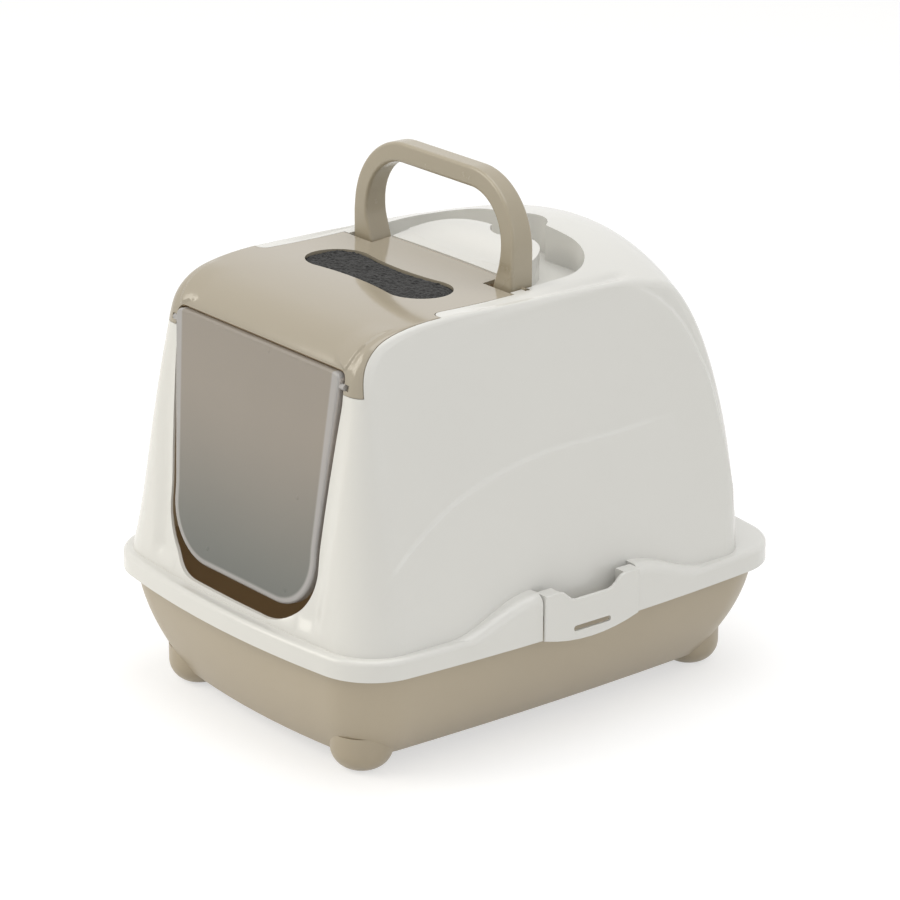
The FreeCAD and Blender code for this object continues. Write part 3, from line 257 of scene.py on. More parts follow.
@dataclass(frozen=True)
class DoorBevel:
    """Border of the doorway, set back into the door's plane.

    The set-back at a point is depth(z) x (1 - ease(distance from the doorway's edge)),
    where depth falls in a straight line from the sill to the lip.
    """

    half_low: float = 105.0
    half_high: float = 120.0
    sill: float = 150.0
    lip: float = 330.0
    deep: float = 5.0
    shallow: float = 1.5
    width: float = 19.0
    front: float = -150.0
    floor: tuple[float, float] = (124.0, 142.0)
    top_fade: tuple[float, float] = (320.0, 338.0)
    deepest_share: float = 1.1
    margin: tuple[float, float, float] = (-12.0, 3.0, 10.0)
    axis: int = 1

    def distance(self, points: Array) -> Array:
        """Distance of points in metres from the doorway's edge across the front, in millimetres."""
        rise = np.clip((points[:, 2] / MM - self.sill) / (self.lip - self.sill), 0.0, 1.0)
        half = self.half_low + (self.half_high - self.half_low) * rise
        return np.abs(points[:, 0]) / MM - half

    def inside(self, points: Array) -> Array:
        """True for points on the front's border."""
        inner, outer, above = self.margin
        away = self.distance(points)
        front = (points[:, 1] / MM < self.front) & (points[:, 2] / MM > self.floor[0])
        return front & (points[:, 2] / MM < self.lip + above) & (away > inner) & (away < self.width + outer)

    def depth(self, points: Array) -> Array:
        """Set-back along +Y in metres."""
        z = points[:, 2] / MM
        fall = np.clip((self.lip - z) / (self.lip - self.sill), 0.0, self.deepest_share)
        deep = (self.shallow + (self.deep - self.shallow) * fall) * smooth_step(*self.floor, z)
        ease = 1.0 - smooth_step(0.0, self.width, self.distance(points))
        front = points[:, 1] / MM < self.front
        return deep * ease * front * (1.0 - smooth_step(*self.top_fade, z)) * MM


@dataclass(frozen=True)
class IslandRise:
    """Top of the island in the roof's recess, which climbs towards the back with the dome.

    The rise at a point is height x ease(y between start and end), on the island's top alone.
    """

    half: float = 75.6
    front: float = -0.7
    rear: float = 67.2
    top: float = 384.5
    start: float = 2.0
    end: float = 66.0
    height: float = 8.0
    skin: float = 1.0
    axis: int = 2

    def inside(self, points: Array) -> Array:
        """True for points on the island's top."""
        x, y, z = (points / MM).T
        plan = (np.abs(x) < self.half) & (y > self.front) & (y < self.rear)
        return plan & (z > self.top) & (z < self.top + self.skin)

    def depth(self, points: Array) -> Array:
        """Rise along +Z in metres."""
        return self.height * smooth_step(self.start, self.end, points[:, 1] / MM) * self.inside(points) * MM


@dataclass
class SculptedShell:
    """A copy of a moulding, refined along its moulded lines and raised, hollowed or set back there."""

    node: str
    piece: str
    body: str
    slot: str
    lines: tuple[MouldedLine, ...]
    fine: float = 1.8 * MM
    passes: int = 8
    shifts: tuple[DoorBevel | IslandRise, ...] = ()

    def near_limit(self, points: Array) -> Array:
        """Longest edge wanted at each point: fine on a line and coarser away from it."""
        folded = points.copy()
        folded[:, 0] = np.abs(folded[:, 0])
        limit = np.full(len(points), 1.0)
        for line in self.lines:
            curve = line.curve()
            reach = line.reach()
            inside = np.all((folded > curve.min(0) - reach) & (folded < curve.max(0) + reach), axis=1)
            if inside.any():
                offset = nearest_on_path(folded[inside], curve)[0]
                away = np.linalg.norm(offset, axis=1)
                wanted = self.fine + COARSEN_SHARE * np.maximum(0.0, away - FINE_WIDTHS * line.width * MM)
                limit[inside] = np.minimum(limit[inside], np.where(away < reach, wanted, 1.0))
        for shift in self.shifts:
            limit = np.where(shift.inside(points), np.minimum(limit, SHIFT_EDGES * self.fine), limit)
        return limit

    def refined(self) -> bpy.types.Mesh:
        """Copy of the node's mesh, merged and split along the lines, which settle on it first.

        The moulding's own normals ride along as a corner attribute, which every split
        interpolates, so the copy shades as smoothly as the moulding.

        Returns:
            A mesh with the corner attribute base_normal.
        """
        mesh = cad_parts[self.node].data.copy()
        mesh.name = self.piece
        normals = np.zeros(len(mesh.loops) * 3, np.float32)
        mesh.corner_normals.foreach_get("vector", normals)
        mesh.attributes.remove(mesh.attributes["custom_normal"])
        mesh.attributes.new("base_normal", "FLOAT_VECTOR", "CORNER").data.foreach_set("vector", normals)
        work = bmesh.new()
        work.from_mesh(mesh)
        bmesh.ops.remove_doubles(work, verts=work.verts, dist=MERGE)
        wall = BVHTree.FromBMesh(work)
        self.lines = tuple(line.settled(wall) for line in self.lines)
        for _ in range(self.passes):
            work.to_mesh(mesh)
            points = np.zeros(len(mesh.vertices) * 3)
            mesh.vertices.foreach_get("co", points)
            ends = np.zeros(len(mesh.edges) * 2, int)
            mesh.edges.foreach_get("vertices", ends)
            first, second = (points.reshape(-1, 3)[ends.reshape(-1, 2)[:, k]] for k in (0, 1))
            length = np.linalg.norm(second - first, axis=1)
            middle, quarter = (first + second) / 2, (3 * first + second) / 4
            limit = np.minimum(self.near_limit(middle), self.near_limit(quarter))
            limit = np.minimum(limit, self.near_limit((first + 3 * second) / 4))
            split = np.nonzero(length > limit)[0]
            if not len(split):
                break
            work.edges.ensure_lookup_table()
            bmesh.ops.subdivide_edges(work, edges=[work.edges[i] for i in split], cuts=1)
            bmesh.ops.triangulate(work, faces=[f for f in work.faces if len(f.verts) > 3])
        work.to_mesh(mesh)
        work.free()
        return mesh

    def relief(self, points: Array, normals: Array) -> Array:
        """Sum of all the lines' heights, with both sides of the box folded on the right one."""
        side = np.where(points[:, :1] < 0, -1.0, 1.0) * [[1, 0, 0]] + [[0, 1, 1]]
        return sum(line.heights(points * side, normals * side) for line in self.lines)

    def build(self) -> bpy.types.Object:
        """Refine, raise and re-shade the copy.

        A point moves by its height along the mean of its corners' normals, and then by the
        shifts. A corner's new normal is the old one less the slopes of both along the wall.

        Returns:
            The piece, which stands for the node.
        """
        mesh = self.refined()
        points = np.zeros(len(mesh.vertices) * 3)
        mesh.vertices.foreach_get("co", points)
        points = points.reshape(-1, 3)
        owner = np.zeros(len(mesh.loops), int)
        mesh.loops.foreach_get("vertex_index", owner)
        normals = np.zeros(len(mesh.loops) * 3, np.float32)
        mesh.attributes["base_normal"].data.foreach_get("vector", normals)
        normals = normals.reshape(-1, 3).astype(float)
        normals /= np.linalg.norm(normals, axis=1)[:, None]
        mean = np.zeros_like(points)
        np.add.at(mean, owner, normals)
        mean /= np.maximum(np.linalg.norm(mean, axis=1)[:, None], 1e-9)
        corners = points[owner]
        slope = np.zeros_like(corners)
        step = SLOPE_STEP
        for axis in range(3):
            shift = np.eye(3)[axis] * step
            rise = self.relief(corners + shift, normals) - self.relief(corners - shift, normals)
            slope[:, axis] = rise / (2 * step)
        slope -= np.sum(slope * normals, axis=1)[:, None] * normals
        normals -= slope
        normals /= np.linalg.norm(normals, axis=1)[:, None]
        moves = [(shift.axis, shift.depth(points)) for shift in self.shifts]
        for shift in self.shifts:
            fall = np.zeros_like(corners)
            for axis in {0, 1, 2} - {shift.axis}:
                aside = np.eye(3)[axis] * step
                fall[:, axis] = (shift.depth(corners + aside) - shift.depth(corners - aside)) / (2 * step)
            gentle = np.linalg.norm(fall, axis=1)[:, None] < STEEPEST
            normals -= np.where(gentle, normals[:, shift.axis:shift.axis + 1] * fall, 0.0)
            normals /= np.linalg.norm(normals, axis=1)[:, None]
        points += self.relief(points, mean)[:, None] * mean
        for axis, move in moves:
            points[:, axis] += move
        mesh.vertices.foreach_set("co", points.astype(np.float32).ravel())
        mesh.attributes.remove(mesh.attributes["base_normal"])
        mesh.polygons.foreach_set("use_smooth", np.ones(len(mesh.polygons), bool))
        mesh.update()
        mesh.normals_split_custom_set(normals.astype(np.float32).tolist())
        piece = bpy.data.objects.new(self.piece, mesh)
        bpy.context.scene.collection.objects.link(piece)
        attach(piece, self.body)
        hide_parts(self.node)
        return piece


# Node groups and finishes

class Graph:
    """A node tree that is filled by short calls."""

    def __init__(self, tree: bpy.types.NodeTree) -> None:
        """Take a tree and empty it.

        Args:
            tree: a material's, a world's or a group's tree.
        """
        self.tree = tree
        tree.nodes.clear()

    def add(self, kind: str, inputs: dict | None = None, **settings) -> bpy.types.Node:
        """Add a node, set its properties, and fill its sockets with values or links.

        Args:
            kind: the node's type name after ShaderNode or Node.
            inputs: values or other nodes' output sockets by socket name or number.
            settings: the node's own properties.

        Returns:
            The new node.
        """
        node = self.tree.nodes.new(kind)
        for name, value in settings.items():
            setattr(node, name, value)
        for key, value in (inputs or {}).items():
            if isinstance(value, bpy.types.NodeSocket):
                self.tree.links.new(value, node.inputs[key])
            else:
                node.inputs[key].default_value = value
        return node

    def math(self, operation: str, *values, clamp: bool = False) -> bpy.types.NodeSocket:
        """Math node's result on up to three values or sockets."""
        inputs = dict(enumerate(values))
        return self.add("ShaderNodeMath", inputs, operation=operation, use_clamp=clamp).outputs[0]

    def mix(self, share, first, second) -> bpy.types.NodeSocket:
        """Colour between two colours or sockets by a share or socket."""
        node = self.add("ShaderNodeMix", {0: share, 6: first, 7: second}, data_type="RGBA")
        return node.outputs[2]

    def scaled(self, colour, factor: bpy.types.NodeSocket) -> bpy.types.NodeSocket:
        """Colour or socket times a factor."""
        return self.add("ShaderNodeVectorMath", {0: colour, 3: factor}, operation="SCALE").outputs[0]

    def bump(self, height: bpy.types.NodeSocket, strength: float, distance: float) -> bpy.types.NodeSocket:
        """Normal of a height that is so deep in metres."""
        inputs = {"Height": height, "Strength": strength, "Distance": distance}
        return self.add("ShaderNodeBump", inputs).outputs[0]

    def noise(self, vector, scale: float, detail: float = 2.0, rough: float = 0.5) -> bpy.types.NodeSocket:
        """Noise value about 0.5 at so many cells to the metre."""
        inputs = {"Vector": vector, "Scale": scale, "Detail": detail, "Roughness": rough}
        return self.add("ShaderNodeTexNoise", inputs).outputs[0]


@dataclass
class SharedEffects:
    """Node groups that several finishes use."""

    groups: dict[str, bpy.types.NodeTree] = field(default_factory=dict)

    def new_group(self, name: str, inputs: dict[str, float], outputs: dict[str, str]) -> Graph:
        """Empty group with named sockets.

        Args:
            name: the group's name.
            inputs: float inputs with their defaults.
            outputs: output names with their socket types.

        Returns:
            A graph for the group's tree.
        """
        tree = bpy.data.node_groups.new(name, "ShaderNodeTree")
        graph = Graph(tree)
        for label, value in inputs.items():
            socket = tree.interface.new_socket(label, in_out="INPUT", socket_type="NodeSocketFloat")
            socket.default_value = value
        for label, kind in outputs.items():
            tree.interface.new_socket(label, in_out="OUTPUT", socket_type=kind)
        self.groups[name] = tree
        return graph

    def build(self) -> None:
        """Make the groups for moulded grain, tone drift, a blend up the box that carries painted shade and
        reflection, and the door's border that carries a painted highlight.
        """
        self.build_grain()
        self.build_drift()
        self.build_painted_shade_blend()
        self.build_border_highlight()

    def build_grain(self) -> None:
        """Height and roughness of a moulded skin: fine grain over a slow flow of the melt."""
        inputs = {"Grain per metre": 900.0, "Flow per metre": 14.0, "Flow share": 0.3}
        outputs = {"Height": "NodeSocketFloat", "Patch": "NodeSocketFloat"}
        graph = self.new_group("moulded_grain", inputs, outputs)
        given = graph.add("NodeGroupInput").outputs
        place = graph.add("ShaderNodeTexCoord").outputs["Object"]
        grain = graph.noise(place, given["Grain per metre"], 3.0, 0.6)
        flow = graph.noise(place, given["Flow per metre"], 2.0, 0.45)
        height = graph.math("ADD", grain, graph.math("MULTIPLY", flow, given["Flow share"]))
        patches = graph.math("MULTIPLY", given["Flow per metre"], 2.5)
        patch = graph.math("SUBTRACT", graph.noise(place, patches, 4.0), 0.5)
        graph.add("NodeGroupOutput", {"Height": height, "Patch": patch})

    def build_drift(self) -> None:
        """Factor about 1 by which a colour drifts over the piece."""
        graph = self.new_group("tone_drift", {"Patches per metre": 9.0, "Drift": 0.03, "Speckle": 0.01},
                               {"Factor": "NodeSocketFloat"})
        given = graph.add("NodeGroupInput").outputs
        place = graph.add("ShaderNodeTexCoord").outputs["Object"]
        slow = graph.math("SUBTRACT", graph.noise(place, given["Patches per metre"], 3.0), 0.5)
        fast = graph.math("SUBTRACT", graph.noise(place, 1400.0, 2.0), 0.5)
        slow = graph.math("MULTIPLY", slow, given["Drift"])
        total = graph.math("ADD", slow, graph.math("MULTIPLY", fast, given["Speckle"]))
        graph.add("NodeGroupOutput", {"Factor": graph.math("ADD", total, 1.0)})

    def build_painted_shade_blend(self) -> None:
        """Share that eases from 0 at a low height to 1 at a high one, with a slow waver: it blends in the
        painted shade and reflection that make the door darker and bluer low down.
        """
        inputs = {"Low": 0.15, "High": 0.33, "Waver": 0.1}
        graph = self.new_group("rise", inputs, {"Share": "NodeSocketFloat"})
        given = graph.add("NodeGroupInput").outputs
        place = graph.add("ShaderNodeTexCoord").outputs["Object"]
        height = graph.add("ShaderNodeSeparateXYZ", {0: place}).outputs["Z"]
        inputs = {"Value": height, "From Min": given["Low"], "From Max": given["High"]}
        share = graph.add("ShaderNodeMapRange", inputs, interpolation_type="SMOOTHSTEP").outputs[0]
        waver = graph.math("MULTIPLY", graph.math("SUBTRACT", graph.noise(place, 8.0), 0.5), given["Waver"])
        graph.add("NodeGroupOutput", {"Share": graph.math("ADD", share, waver, clamp=True)})

    def build_border_highlight(self) -> None:
        """Mask of the flap door's border, where a paler colour is painted as a highlight.

        It follows the distance inside a round-cornered outline, whose sides stand upright up to
        the knee and then spread.
        """
        inputs = {"Half low": 0.100, "Spread": 0.0739, "Low": 0.1355, "Knee": 0.062, "Corner": 0.050,
                  "Border": 0.0062}
        graph = self.new_group("door_border", inputs, {"Mask": "NodeSocketFloat"})
        given = graph.add("NodeGroupInput").outputs
        place = graph.add("ShaderNodeTexCoord").outputs["Object"]
        x, _, z = graph.add("ShaderNodeSeparateXYZ", {0: place}).outputs
        above = graph.math("SUBTRACT", z, given["Low"])
        past_knee = graph.math("MAXIMUM", graph.math("SUBTRACT", above, given["Knee"]), 0.0)
        half = graph.math("ADD", given["Half low"], graph.math("MULTIPLY", past_knee, given["Spread"]))
        out = graph.math("ADD", graph.math("SUBTRACT", graph.math("ABSOLUTE", x), half), given["Corner"])
        down = graph.math("SUBTRACT", given["Corner"], above)
        squares = [graph.math("POWER", graph.math("MAXIMUM", side, 0.0), 2.0) for side in (out, down)]
        far = graph.math("SQRT", graph.math("ADD", *squares))
        near = graph.math("MINIMUM", graph.math("MAXIMUM", out, down), 0.0)
        away = graph.math("SUBTRACT", graph.math("ADD", far, near), given["Corner"])
        mask = graph.add("ShaderNodeMapRange", {
            "Value": away, "From Min": graph.math("MULTIPLY", given["Border"], -1.25),
            "From Max": graph.math("MULTIPLY", given["Border"], -0.75)}, interpolation_type="SMOOTHSTEP")
        graph.add("NodeGroupOutput", {"Mask": mask.outputs[0]})

    def place(self, graph: Graph, name: str, **inputs) -> dict[str, bpy.types.NodeSocket]:
        """Put a group into a material.

        Args:
            graph: the material's graph.
            name: the group's name.
            inputs: values by socket name, with _ for a space.

        Returns:
            The group's outputs by name.
        """
        node = graph.add("ShaderNodeGroup", node_tree=self.groups[name])
        for key, value in inputs.items():
            node.inputs[key.replace("_", " ")].default_value = value
        return {socket.name: socket for socket in node.outputs}


@dataclass(frozen=True)
class MouldedPlastic:
    """Opaque injection-moulded plastic."""

    name: str
    colour: Colour
    sheen: Sheen
    drift: float

    def material(self, effects: SharedEffects) -> bpy.types.Material:
        """Material with drifting tone, grain in the normal and a thin clear skin.

        Args:
            effects: the shared groups.

        Returns:
            The material.
        """
        roughness, spread, grain_per_metre, grain_depth, skin = self.sheen.value
        made = bpy.data.materials.new(self.name)
        made.use_nodes = True
        graph = Graph(made.node_tree)
        grain = effects.place(graph, "moulded_grain", Grain_per_metre=grain_per_metre)
        drift = effects.place(graph, "tone_drift", Drift=self.drift)
        tinted = graph.scaled(self.colour, drift["Factor"])
        rough = graph.math("MULTIPLY_ADD", grain["Patch"], spread, roughness, clamp=True)
        normal = graph.bump(grain["Height"], 0.5, grain_depth)
        surface = graph.add("ShaderNodeBsdfPrincipled", {
            "Base Color": tinted, "Roughness": rough, "Normal": normal,
            "Coat Weight": skin, "Coat Roughness": 0.08, "IOR": 1.49})
        graph.add("ShaderNodeOutputMaterial", {"Surface": surface.outputs[0]})
        return made


@dataclass(frozen=True)
class SmokedSheet:
    """Thin see-through plastic with a milky body."""

    name: str
    painted_shade_colour: Colour
    high_colour: Colour
    painted_highlight_colour: Colour
    clear: float
    roughness: float

    def material(self, effects: SharedEffects) -> bpy.types.Material:
        """Material that lets part of the light through, scatters the rest, and carries painted shade and
        reflection, darker and bluer low down, and a painted highlight, paler along its border.

        Args:
            effects: the shared groups.

        Returns:
            The material.
        """
        made = bpy.data.materials.new(self.name)
        made.use_nodes = True
        graph = Graph(made.node_tree)
        grain = effects.place(graph, "moulded_grain", Grain_per_metre=600.0, Flow_per_metre=20.0)
        drift = effects.place(graph, "tone_drift", Drift=0.05, Patches_per_metre=7.0)
        rise = effects.place(graph, "rise", Low=0.12, High=0.30)
        # painted shade and reflection: the sheet is darker and bluer towards the bottom, which is not its
        # own colour
        blend = graph.mix(rise["Share"], (*self.painted_shade_colour, 1.0), (*self.high_colour, 1.0))
        border = effects.place(graph, "door_border")
        # painted highlight: a paler colour along the door's border
        blend = graph.mix(border["Mask"], blend, (*self.painted_highlight_colour, 1.0))
        tinted = graph.scaled(blend, drift["Factor"])
        rough = graph.math("MULTIPLY_ADD", grain["Patch"], 0.1, self.roughness)
        normal = graph.bump(grain["Height"], 0.3, 0.02 * MM)
        surface = graph.add("ShaderNodeBsdfPrincipled", {
            "Base Color": tinted, "Roughness": rough, "Normal": normal,
            "Transmission Weight": self.clear, "IOR": 1.49})
        graph.add("ShaderNodeOutputMaterial", {"Surface": surface.outputs[0]})
        return made


@dataclass(frozen=True)
class CharcoalFelt:
    """Open needled felt loaded with charcoal."""

    name: str
    dark: Colour
    pale: Colour

    def material(self) -> bpy.types.Material:
        """Material of dark fibres with pale flecks and a rough, open pile.

        Returns:
            The material.
        """
        made = bpy.data.materials.new(self.name)
        made.use_nodes = True
        graph = Graph(made.node_tree)
        place = graph.add("ShaderNodeTexCoord").outputs["Object"]
        fibre = graph.noise(place, 620.0, 4.0, 0.7)
        tuft = graph.noise(place, 230.0, 3.0, 0.6)
        blend = graph.math("MULTIPLY_ADD", fibre, 0.6, graph.math("MULTIPLY", tuft, 0.4))
        share = graph.add("ShaderNodeMapRange", {"Value": blend, "From Min": 0.42, "From Max": 0.62})
        colour = graph.mix(share.outputs[0], (*self.dark, 1.0), (*self.pale, 1.0))
        normal = graph.bump(blend, 0.9, 0.8 * MM)
        surface = graph.add("ShaderNodeBsdfPrincipled", {
            "Base Color": colour, "Roughness": 0.95, "Normal": normal,
            "Sheen Weight": 0.12, "Sheen Roughness": 0.6, "Specular IOR Level": 0.2})
        graph.add("ShaderNodeOutputMaterial", {"Surface": surface.outputs[0]})
        return made


@dataclass
class Finishes:
    """All the finishes of the box, made once."""

    effects: SharedEffects
    made: dict[str, bpy.types.Material] = field(default_factory=dict)

    def build(self) -> None:
        """Make each material."""
        plastics = (
            MouldedPlastic("taupe_grained", (0.40, 0.342, 0.252), Sheen.GRAINED, 0.05),
            MouldedPlastic("taupe_satin", (0.345, 0.302, 0.223), Sheen.SATIN, 0.04),
            MouldedPlastic("cream_gloss", (0.665, 0.66, 0.63), Sheen.GLOSS, 0.02),
            MouldedPlastic("grey_gloss", (0.345, 0.305, 0.235), Sheen.POLISHED, 0.03),
        )
        for plastic in plastics:
            self.made[plastic.name] = plastic.material(self.effects)
        # the border colour is a painted highlight, paler than the sheet itself
        # the low colour is painted shade and reflection, darker and bluer than the sheet itself
        sheet = SmokedSheet("smoked", painted_shade_colour=(0.175, 0.185, 0.168), high_colour=(0.365, 0.325, 0.275),
                            painted_highlight_colour=(0.48, 0.465, 0.455), clear=0.3, roughness=0.22)
        self.made[sheet.name] = sheet.material(self.effects)
        self.made["felt"] = CharcoalFelt("felt", (0.007, 0.007, 0.007), (0.034, 0.034, 0.035)).material()

    def dress(self, piece: bpy.types.Object, finish: str) -> None:
        """Give a piece or a node one finish all over."""
        piece.data.materials.clear()
        piece.data.materials.append(self.made[finish])


# Sub-assemblies

@dataclass
class TrayBase:
    """Open tray on moulded feet."""

    finishes: Finishes

    def build(self) -> None:
        """Dress the tray's node."""
        self.finishes.dress(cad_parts["tray"], "taupe_grained")
        LOG.info("tray dressed")


@dataclass
class Hood:
    """Domed hood with its moulded lines."""

    finishes: Finishes
    half_width: float = 182.0
    lean: float = 40.0 / 210.0
    bow: float = 4.0
    half_length: float = 237.0
    ledge: float = 122.0
    side_facing: Point = (0.98, 0.0, 0.19)

    def side_point(self, place: float, height: float) -> Point:
        """Point of the side wall: half width less the lean and the bow."""
        x = self.half_width - self.lean * (height - self.ledge) - self.bow * (place / self.half_length) ** 2
        return (x, place, height)

    def lines(self) -> tuple[MouldedLine, ...]:
        """The side's sweeping line, the crease before the back, and the shoulder's hollow and bead."""
        sweep = ((-212, 160), (-197, 181), (-166, 207), (-119, 233), (-66, 248), (-11, 254.5), (51, 254.5),
                 (100, 255.5), (140, 257))
        crease = ((80, 379), (99, 369), (125, 351), (145, 328), (159, 300), (170, 272), (180, 221),
                  (187, 185), (192, 150))
        hollow = ((120, -95, 381), (123, -60, 381), (126, -30, 382), (128, 0, 383.5), (129.5, 40, 386),
                  (129.5, 70, 388), (127, 88, 390), (120, 99, 393))
        bead = ((134.5, -100, 368), (134, -60, 372), (134, 0, 374), (134, 50, 375), (132.5, 85, 380),
                (128, 102, 387))
        top_facing = (0.6, 0.0, 0.8)
        return (
            MouldedLine(tuple(self.side_point(*p) for p in sweep)[::-1], self.side_facing, Profile.STEP,
                        1.9, 2.2, 75.0, (0.25, 0.2)),
            MouldedLine(tuple(self.side_point(*p) for p in crease)[::-1], self.side_facing, Profile.STEP,
                        2.4, 2.6, 50.0, (0.12, 0.25)),
            MouldedLine(hollow, top_facing, Profile.GROOVE, 2.8, 5.5, 0.0, (0.25, 0.12)),
            MouldedLine(bead, top_facing, Profile.RIDGE, 1.5, 5.5, 0.0, (0.3, 0.2)),
        )

    def build(self) -> None:
        """Sculpt and dress the hood."""
        shell = SculptedShell("hood", "hood_shell", "hood", "cream_plastic", self.lines(), 2.5 * MM,
                              shifts=(DoorBevel(), IslandRise())).build()
        self.finishes.dress(shell, "cream_gloss")
        LOG.info("%s: %d faces", shell.name, len(shell.data.polygons))


@dataclass
class FrontLid:
    """Curved lid over the front of the roof, with its filter."""

    finishes: Finishes
    pad_top: float = 376.4
    pad_low: float = 370.6
    pad_middle: float = -75.0
    lobe: float = 33.0
    waist: float = 28.0
    reach: float = 55.0
    crown: float = 3.2
    edge_round: float = 1.5
    columns: int = 300
    run: int = 110

    def lines(self) -> tuple[MouldedLine, ...]:
        """Creases where the legs leave the front curve."""
        crease = ((113.5, -198.5, 349), (116, -196, 354), (118, -190, 362.5), (119.5, -180, 370.5),
                  (121, -165, 376.5), (122, -148, 379.5))
        return (MouldedLine(crease, (0.0, -0.7, 0.7), Profile.STEP, 1.4, 1.3, 26.0, (0.05, 0.4)),)

    def half_breadth(self, x: Array) -> Array:
        """Half breadth of the pad: round lobes, joined by hollow arcs round a far centre."""
        hollow = (self.reach ** 2 + self.waist ** 2 - self.lobe ** 2) / (2 * (self.lobe - self.waist))
        centre = self.waist + hollow
        touch = self.reach * (1 - self.lobe / math.hypot(self.reach, centre))
        waist = centre - np.sqrt(np.maximum(hollow ** 2 - x ** 2, 0.0))
        lobe = np.sqrt(np.maximum(self.lobe ** 2 - (np.abs(x) - self.reach) ** 2, 0.0))
        return np.where(np.abs(x) < touch, waist, lobe)

    def felt(self) -> bpy.types.Object:
        """Pad of felt: its section is carried along X, with a crown under the window and a tufted top.

        Each column at x holds a closed section: a top run, a rounded edge, a straight
        side and a flat bottom, all scaled to the half breadth at x. The top rises by the
        crown away from the rim and by seeded random tufts, averaged over their neighbours.

        Returns:
            The pad.
        """
        end = self.reach + self.lobe
        x = end * np.sin(np.linspace(-np.pi / 2, np.pi / 2, self.columns))
        half = self.half_breadth(x)[:, None]
        bend = np.linspace(0, np.pi / 2, 5)
        fall = self.edge_round * (1 - np.cos(bend))
        inward = self.edge_round * (1 - np.sin(bend))
        across = np.linspace(-1, 1, self.run)
        top_y = np.maximum(half - self.edge_round, 0) * across[None, :]
        right_y = np.maximum(half - inward[None, 1:], 0)
        low_y = np.maximum(half - self.edge_round, 0) * np.linspace(1, -1, 9)[None, :]
        y = np.hstack([top_y, right_y, low_y, -right_y[:, ::-1]])
        rng = np.random.default_rng(11)
        tufts = rng.normal(size=(self.columns, self.run))
        for _ in range(2):
            tufts = sum(np.roll(tufts, (i, j), (0, 1)) for i in (-1, 0, 1) for j in (-1, 0, 1)) / 4.5
        rim = np.minimum(half - np.abs(top_y), end - np.abs(x)[:, None])
        rise = (self.crown + 0.3 * tufts) * smooth_step(4.0, 9.0, rim)
        flat = np.ones_like(half)
        z = np.hstack([self.pad_top + rise, self.pad_top - fall[None, 1:] * flat,
                       self.pad_low * np.ones((self.columns, 9)), self.pad_top - fall[None, :0:-1] * flat])
        points = np.stack([np.broadcast_to(x[:, None], y.shape), self.pad_middle + y, z], axis=-1) * MM
        return new_piece("filter_felt", points, grid_faces(*y.shape, round_columns=True))

    def build(self) -> None:
        """Sculpt and dress the lid, and lay the felt in its pocket."""
        shell = SculptedShell("lid", "lid_shell", "lid", "grey_plastic", self.lines(), 1.6 * MM).build()
        self.finishes.dress(shell, "grey_gloss")
        self.finishes.dress(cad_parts["filter_retainer"], "grey_gloss")
        felt = self.felt()
        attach(felt, "lid")
        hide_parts("filter_pad")
        self.finishes.dress(felt, "felt")
        for piece in (shell, felt):
            LOG.info("%s: %d faces", piece.name, len(piece.data.polygons))


@dataclass
class FlapDoor:
    """Smoked flap with small moulded pips on its face."""

    finishes: Finishes
    hinge_y: float = -201.0
    hinge_z: float = 338.0
    lean: float = math.atan(19.4 / 203.0)
    face: float = 3.5
    pips: tuple[tuple[float, float], ...] = ((70.8, 232.4), (-47.7, 152.7), (63.4, 150.2), (18.9, 343.5))
    pip_radius: float = 2.2
    pip_height: float = 0.5

    def pip_points(self) -> tuple[Array, Array]:
        """Low domes on the door's face: height falls with the square of the distance from the middle.

        Returns:
            Points and quads of all the pips.
        """
        rings, spokes = 7, 24
        r = np.linspace(0, 1, rings)[:, None]
        turn = np.linspace(0, 2 * np.pi, spokes, endpoint=False)[None, :]
        out = self.pip_height * (1 - r ** 2) - 0.05
        faces = grid_faces(rings, spokes, round_columns=True)
        points, quads = [], []
        for number, (x, z) in enumerate(self.pips):
            drop = (self.hinge_z - z) / math.cos(self.lean)
            along = drop - self.pip_radius * r * np.sin(turn)
            depth = self.face + out + 0 * turn
            px = x + self.pip_radius * r * np.cos(turn)
            py = self.hinge_y - along * math.sin(self.lean) - depth * math.cos(self.lean)
            pz = self.hinge_z - along * math.cos(self.lean) + depth * math.sin(self.lean)
            points.append(np.stack([px, py, pz], axis=-1).reshape(-1, 3) * MM)
            quads.append(faces + number * rings * spokes)
        return np.vstack(points), np.vstack(quads)

    def build(self) -> None:
        """Dress the door and set its pips."""
        self.finishes.dress(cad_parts["flap_door"], "smoked")
        pips = new_piece("door_pips", *self.pip_points())
        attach(pips, "door")
        self.finishes.dress(pips, "smoked")
        LOG.info("flap door dressed, %d pips", len(self.pips))


@dataclass
class CarryHandle:
    """Bail handle that stands in the roof's recess."""

    finishes: Finishes

    def build(self) -> None:
        """Dress the handle's node."""
        self.finishes.dress(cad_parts["carry_handle"], "taupe_satin")
        LOG.info("carry handle dressed")


@dataclass
class SideClips:
    """Two clips that hold the hood on the tray."""

    finishes: Finishes

    def build(self) -> None:
        """Dress both clips."""
        for name in ("clip_right", "clip_left"):
            self.finishes.dress(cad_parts[name], "cream_gloss")
        LOG.info("clips dressed")


# Stage

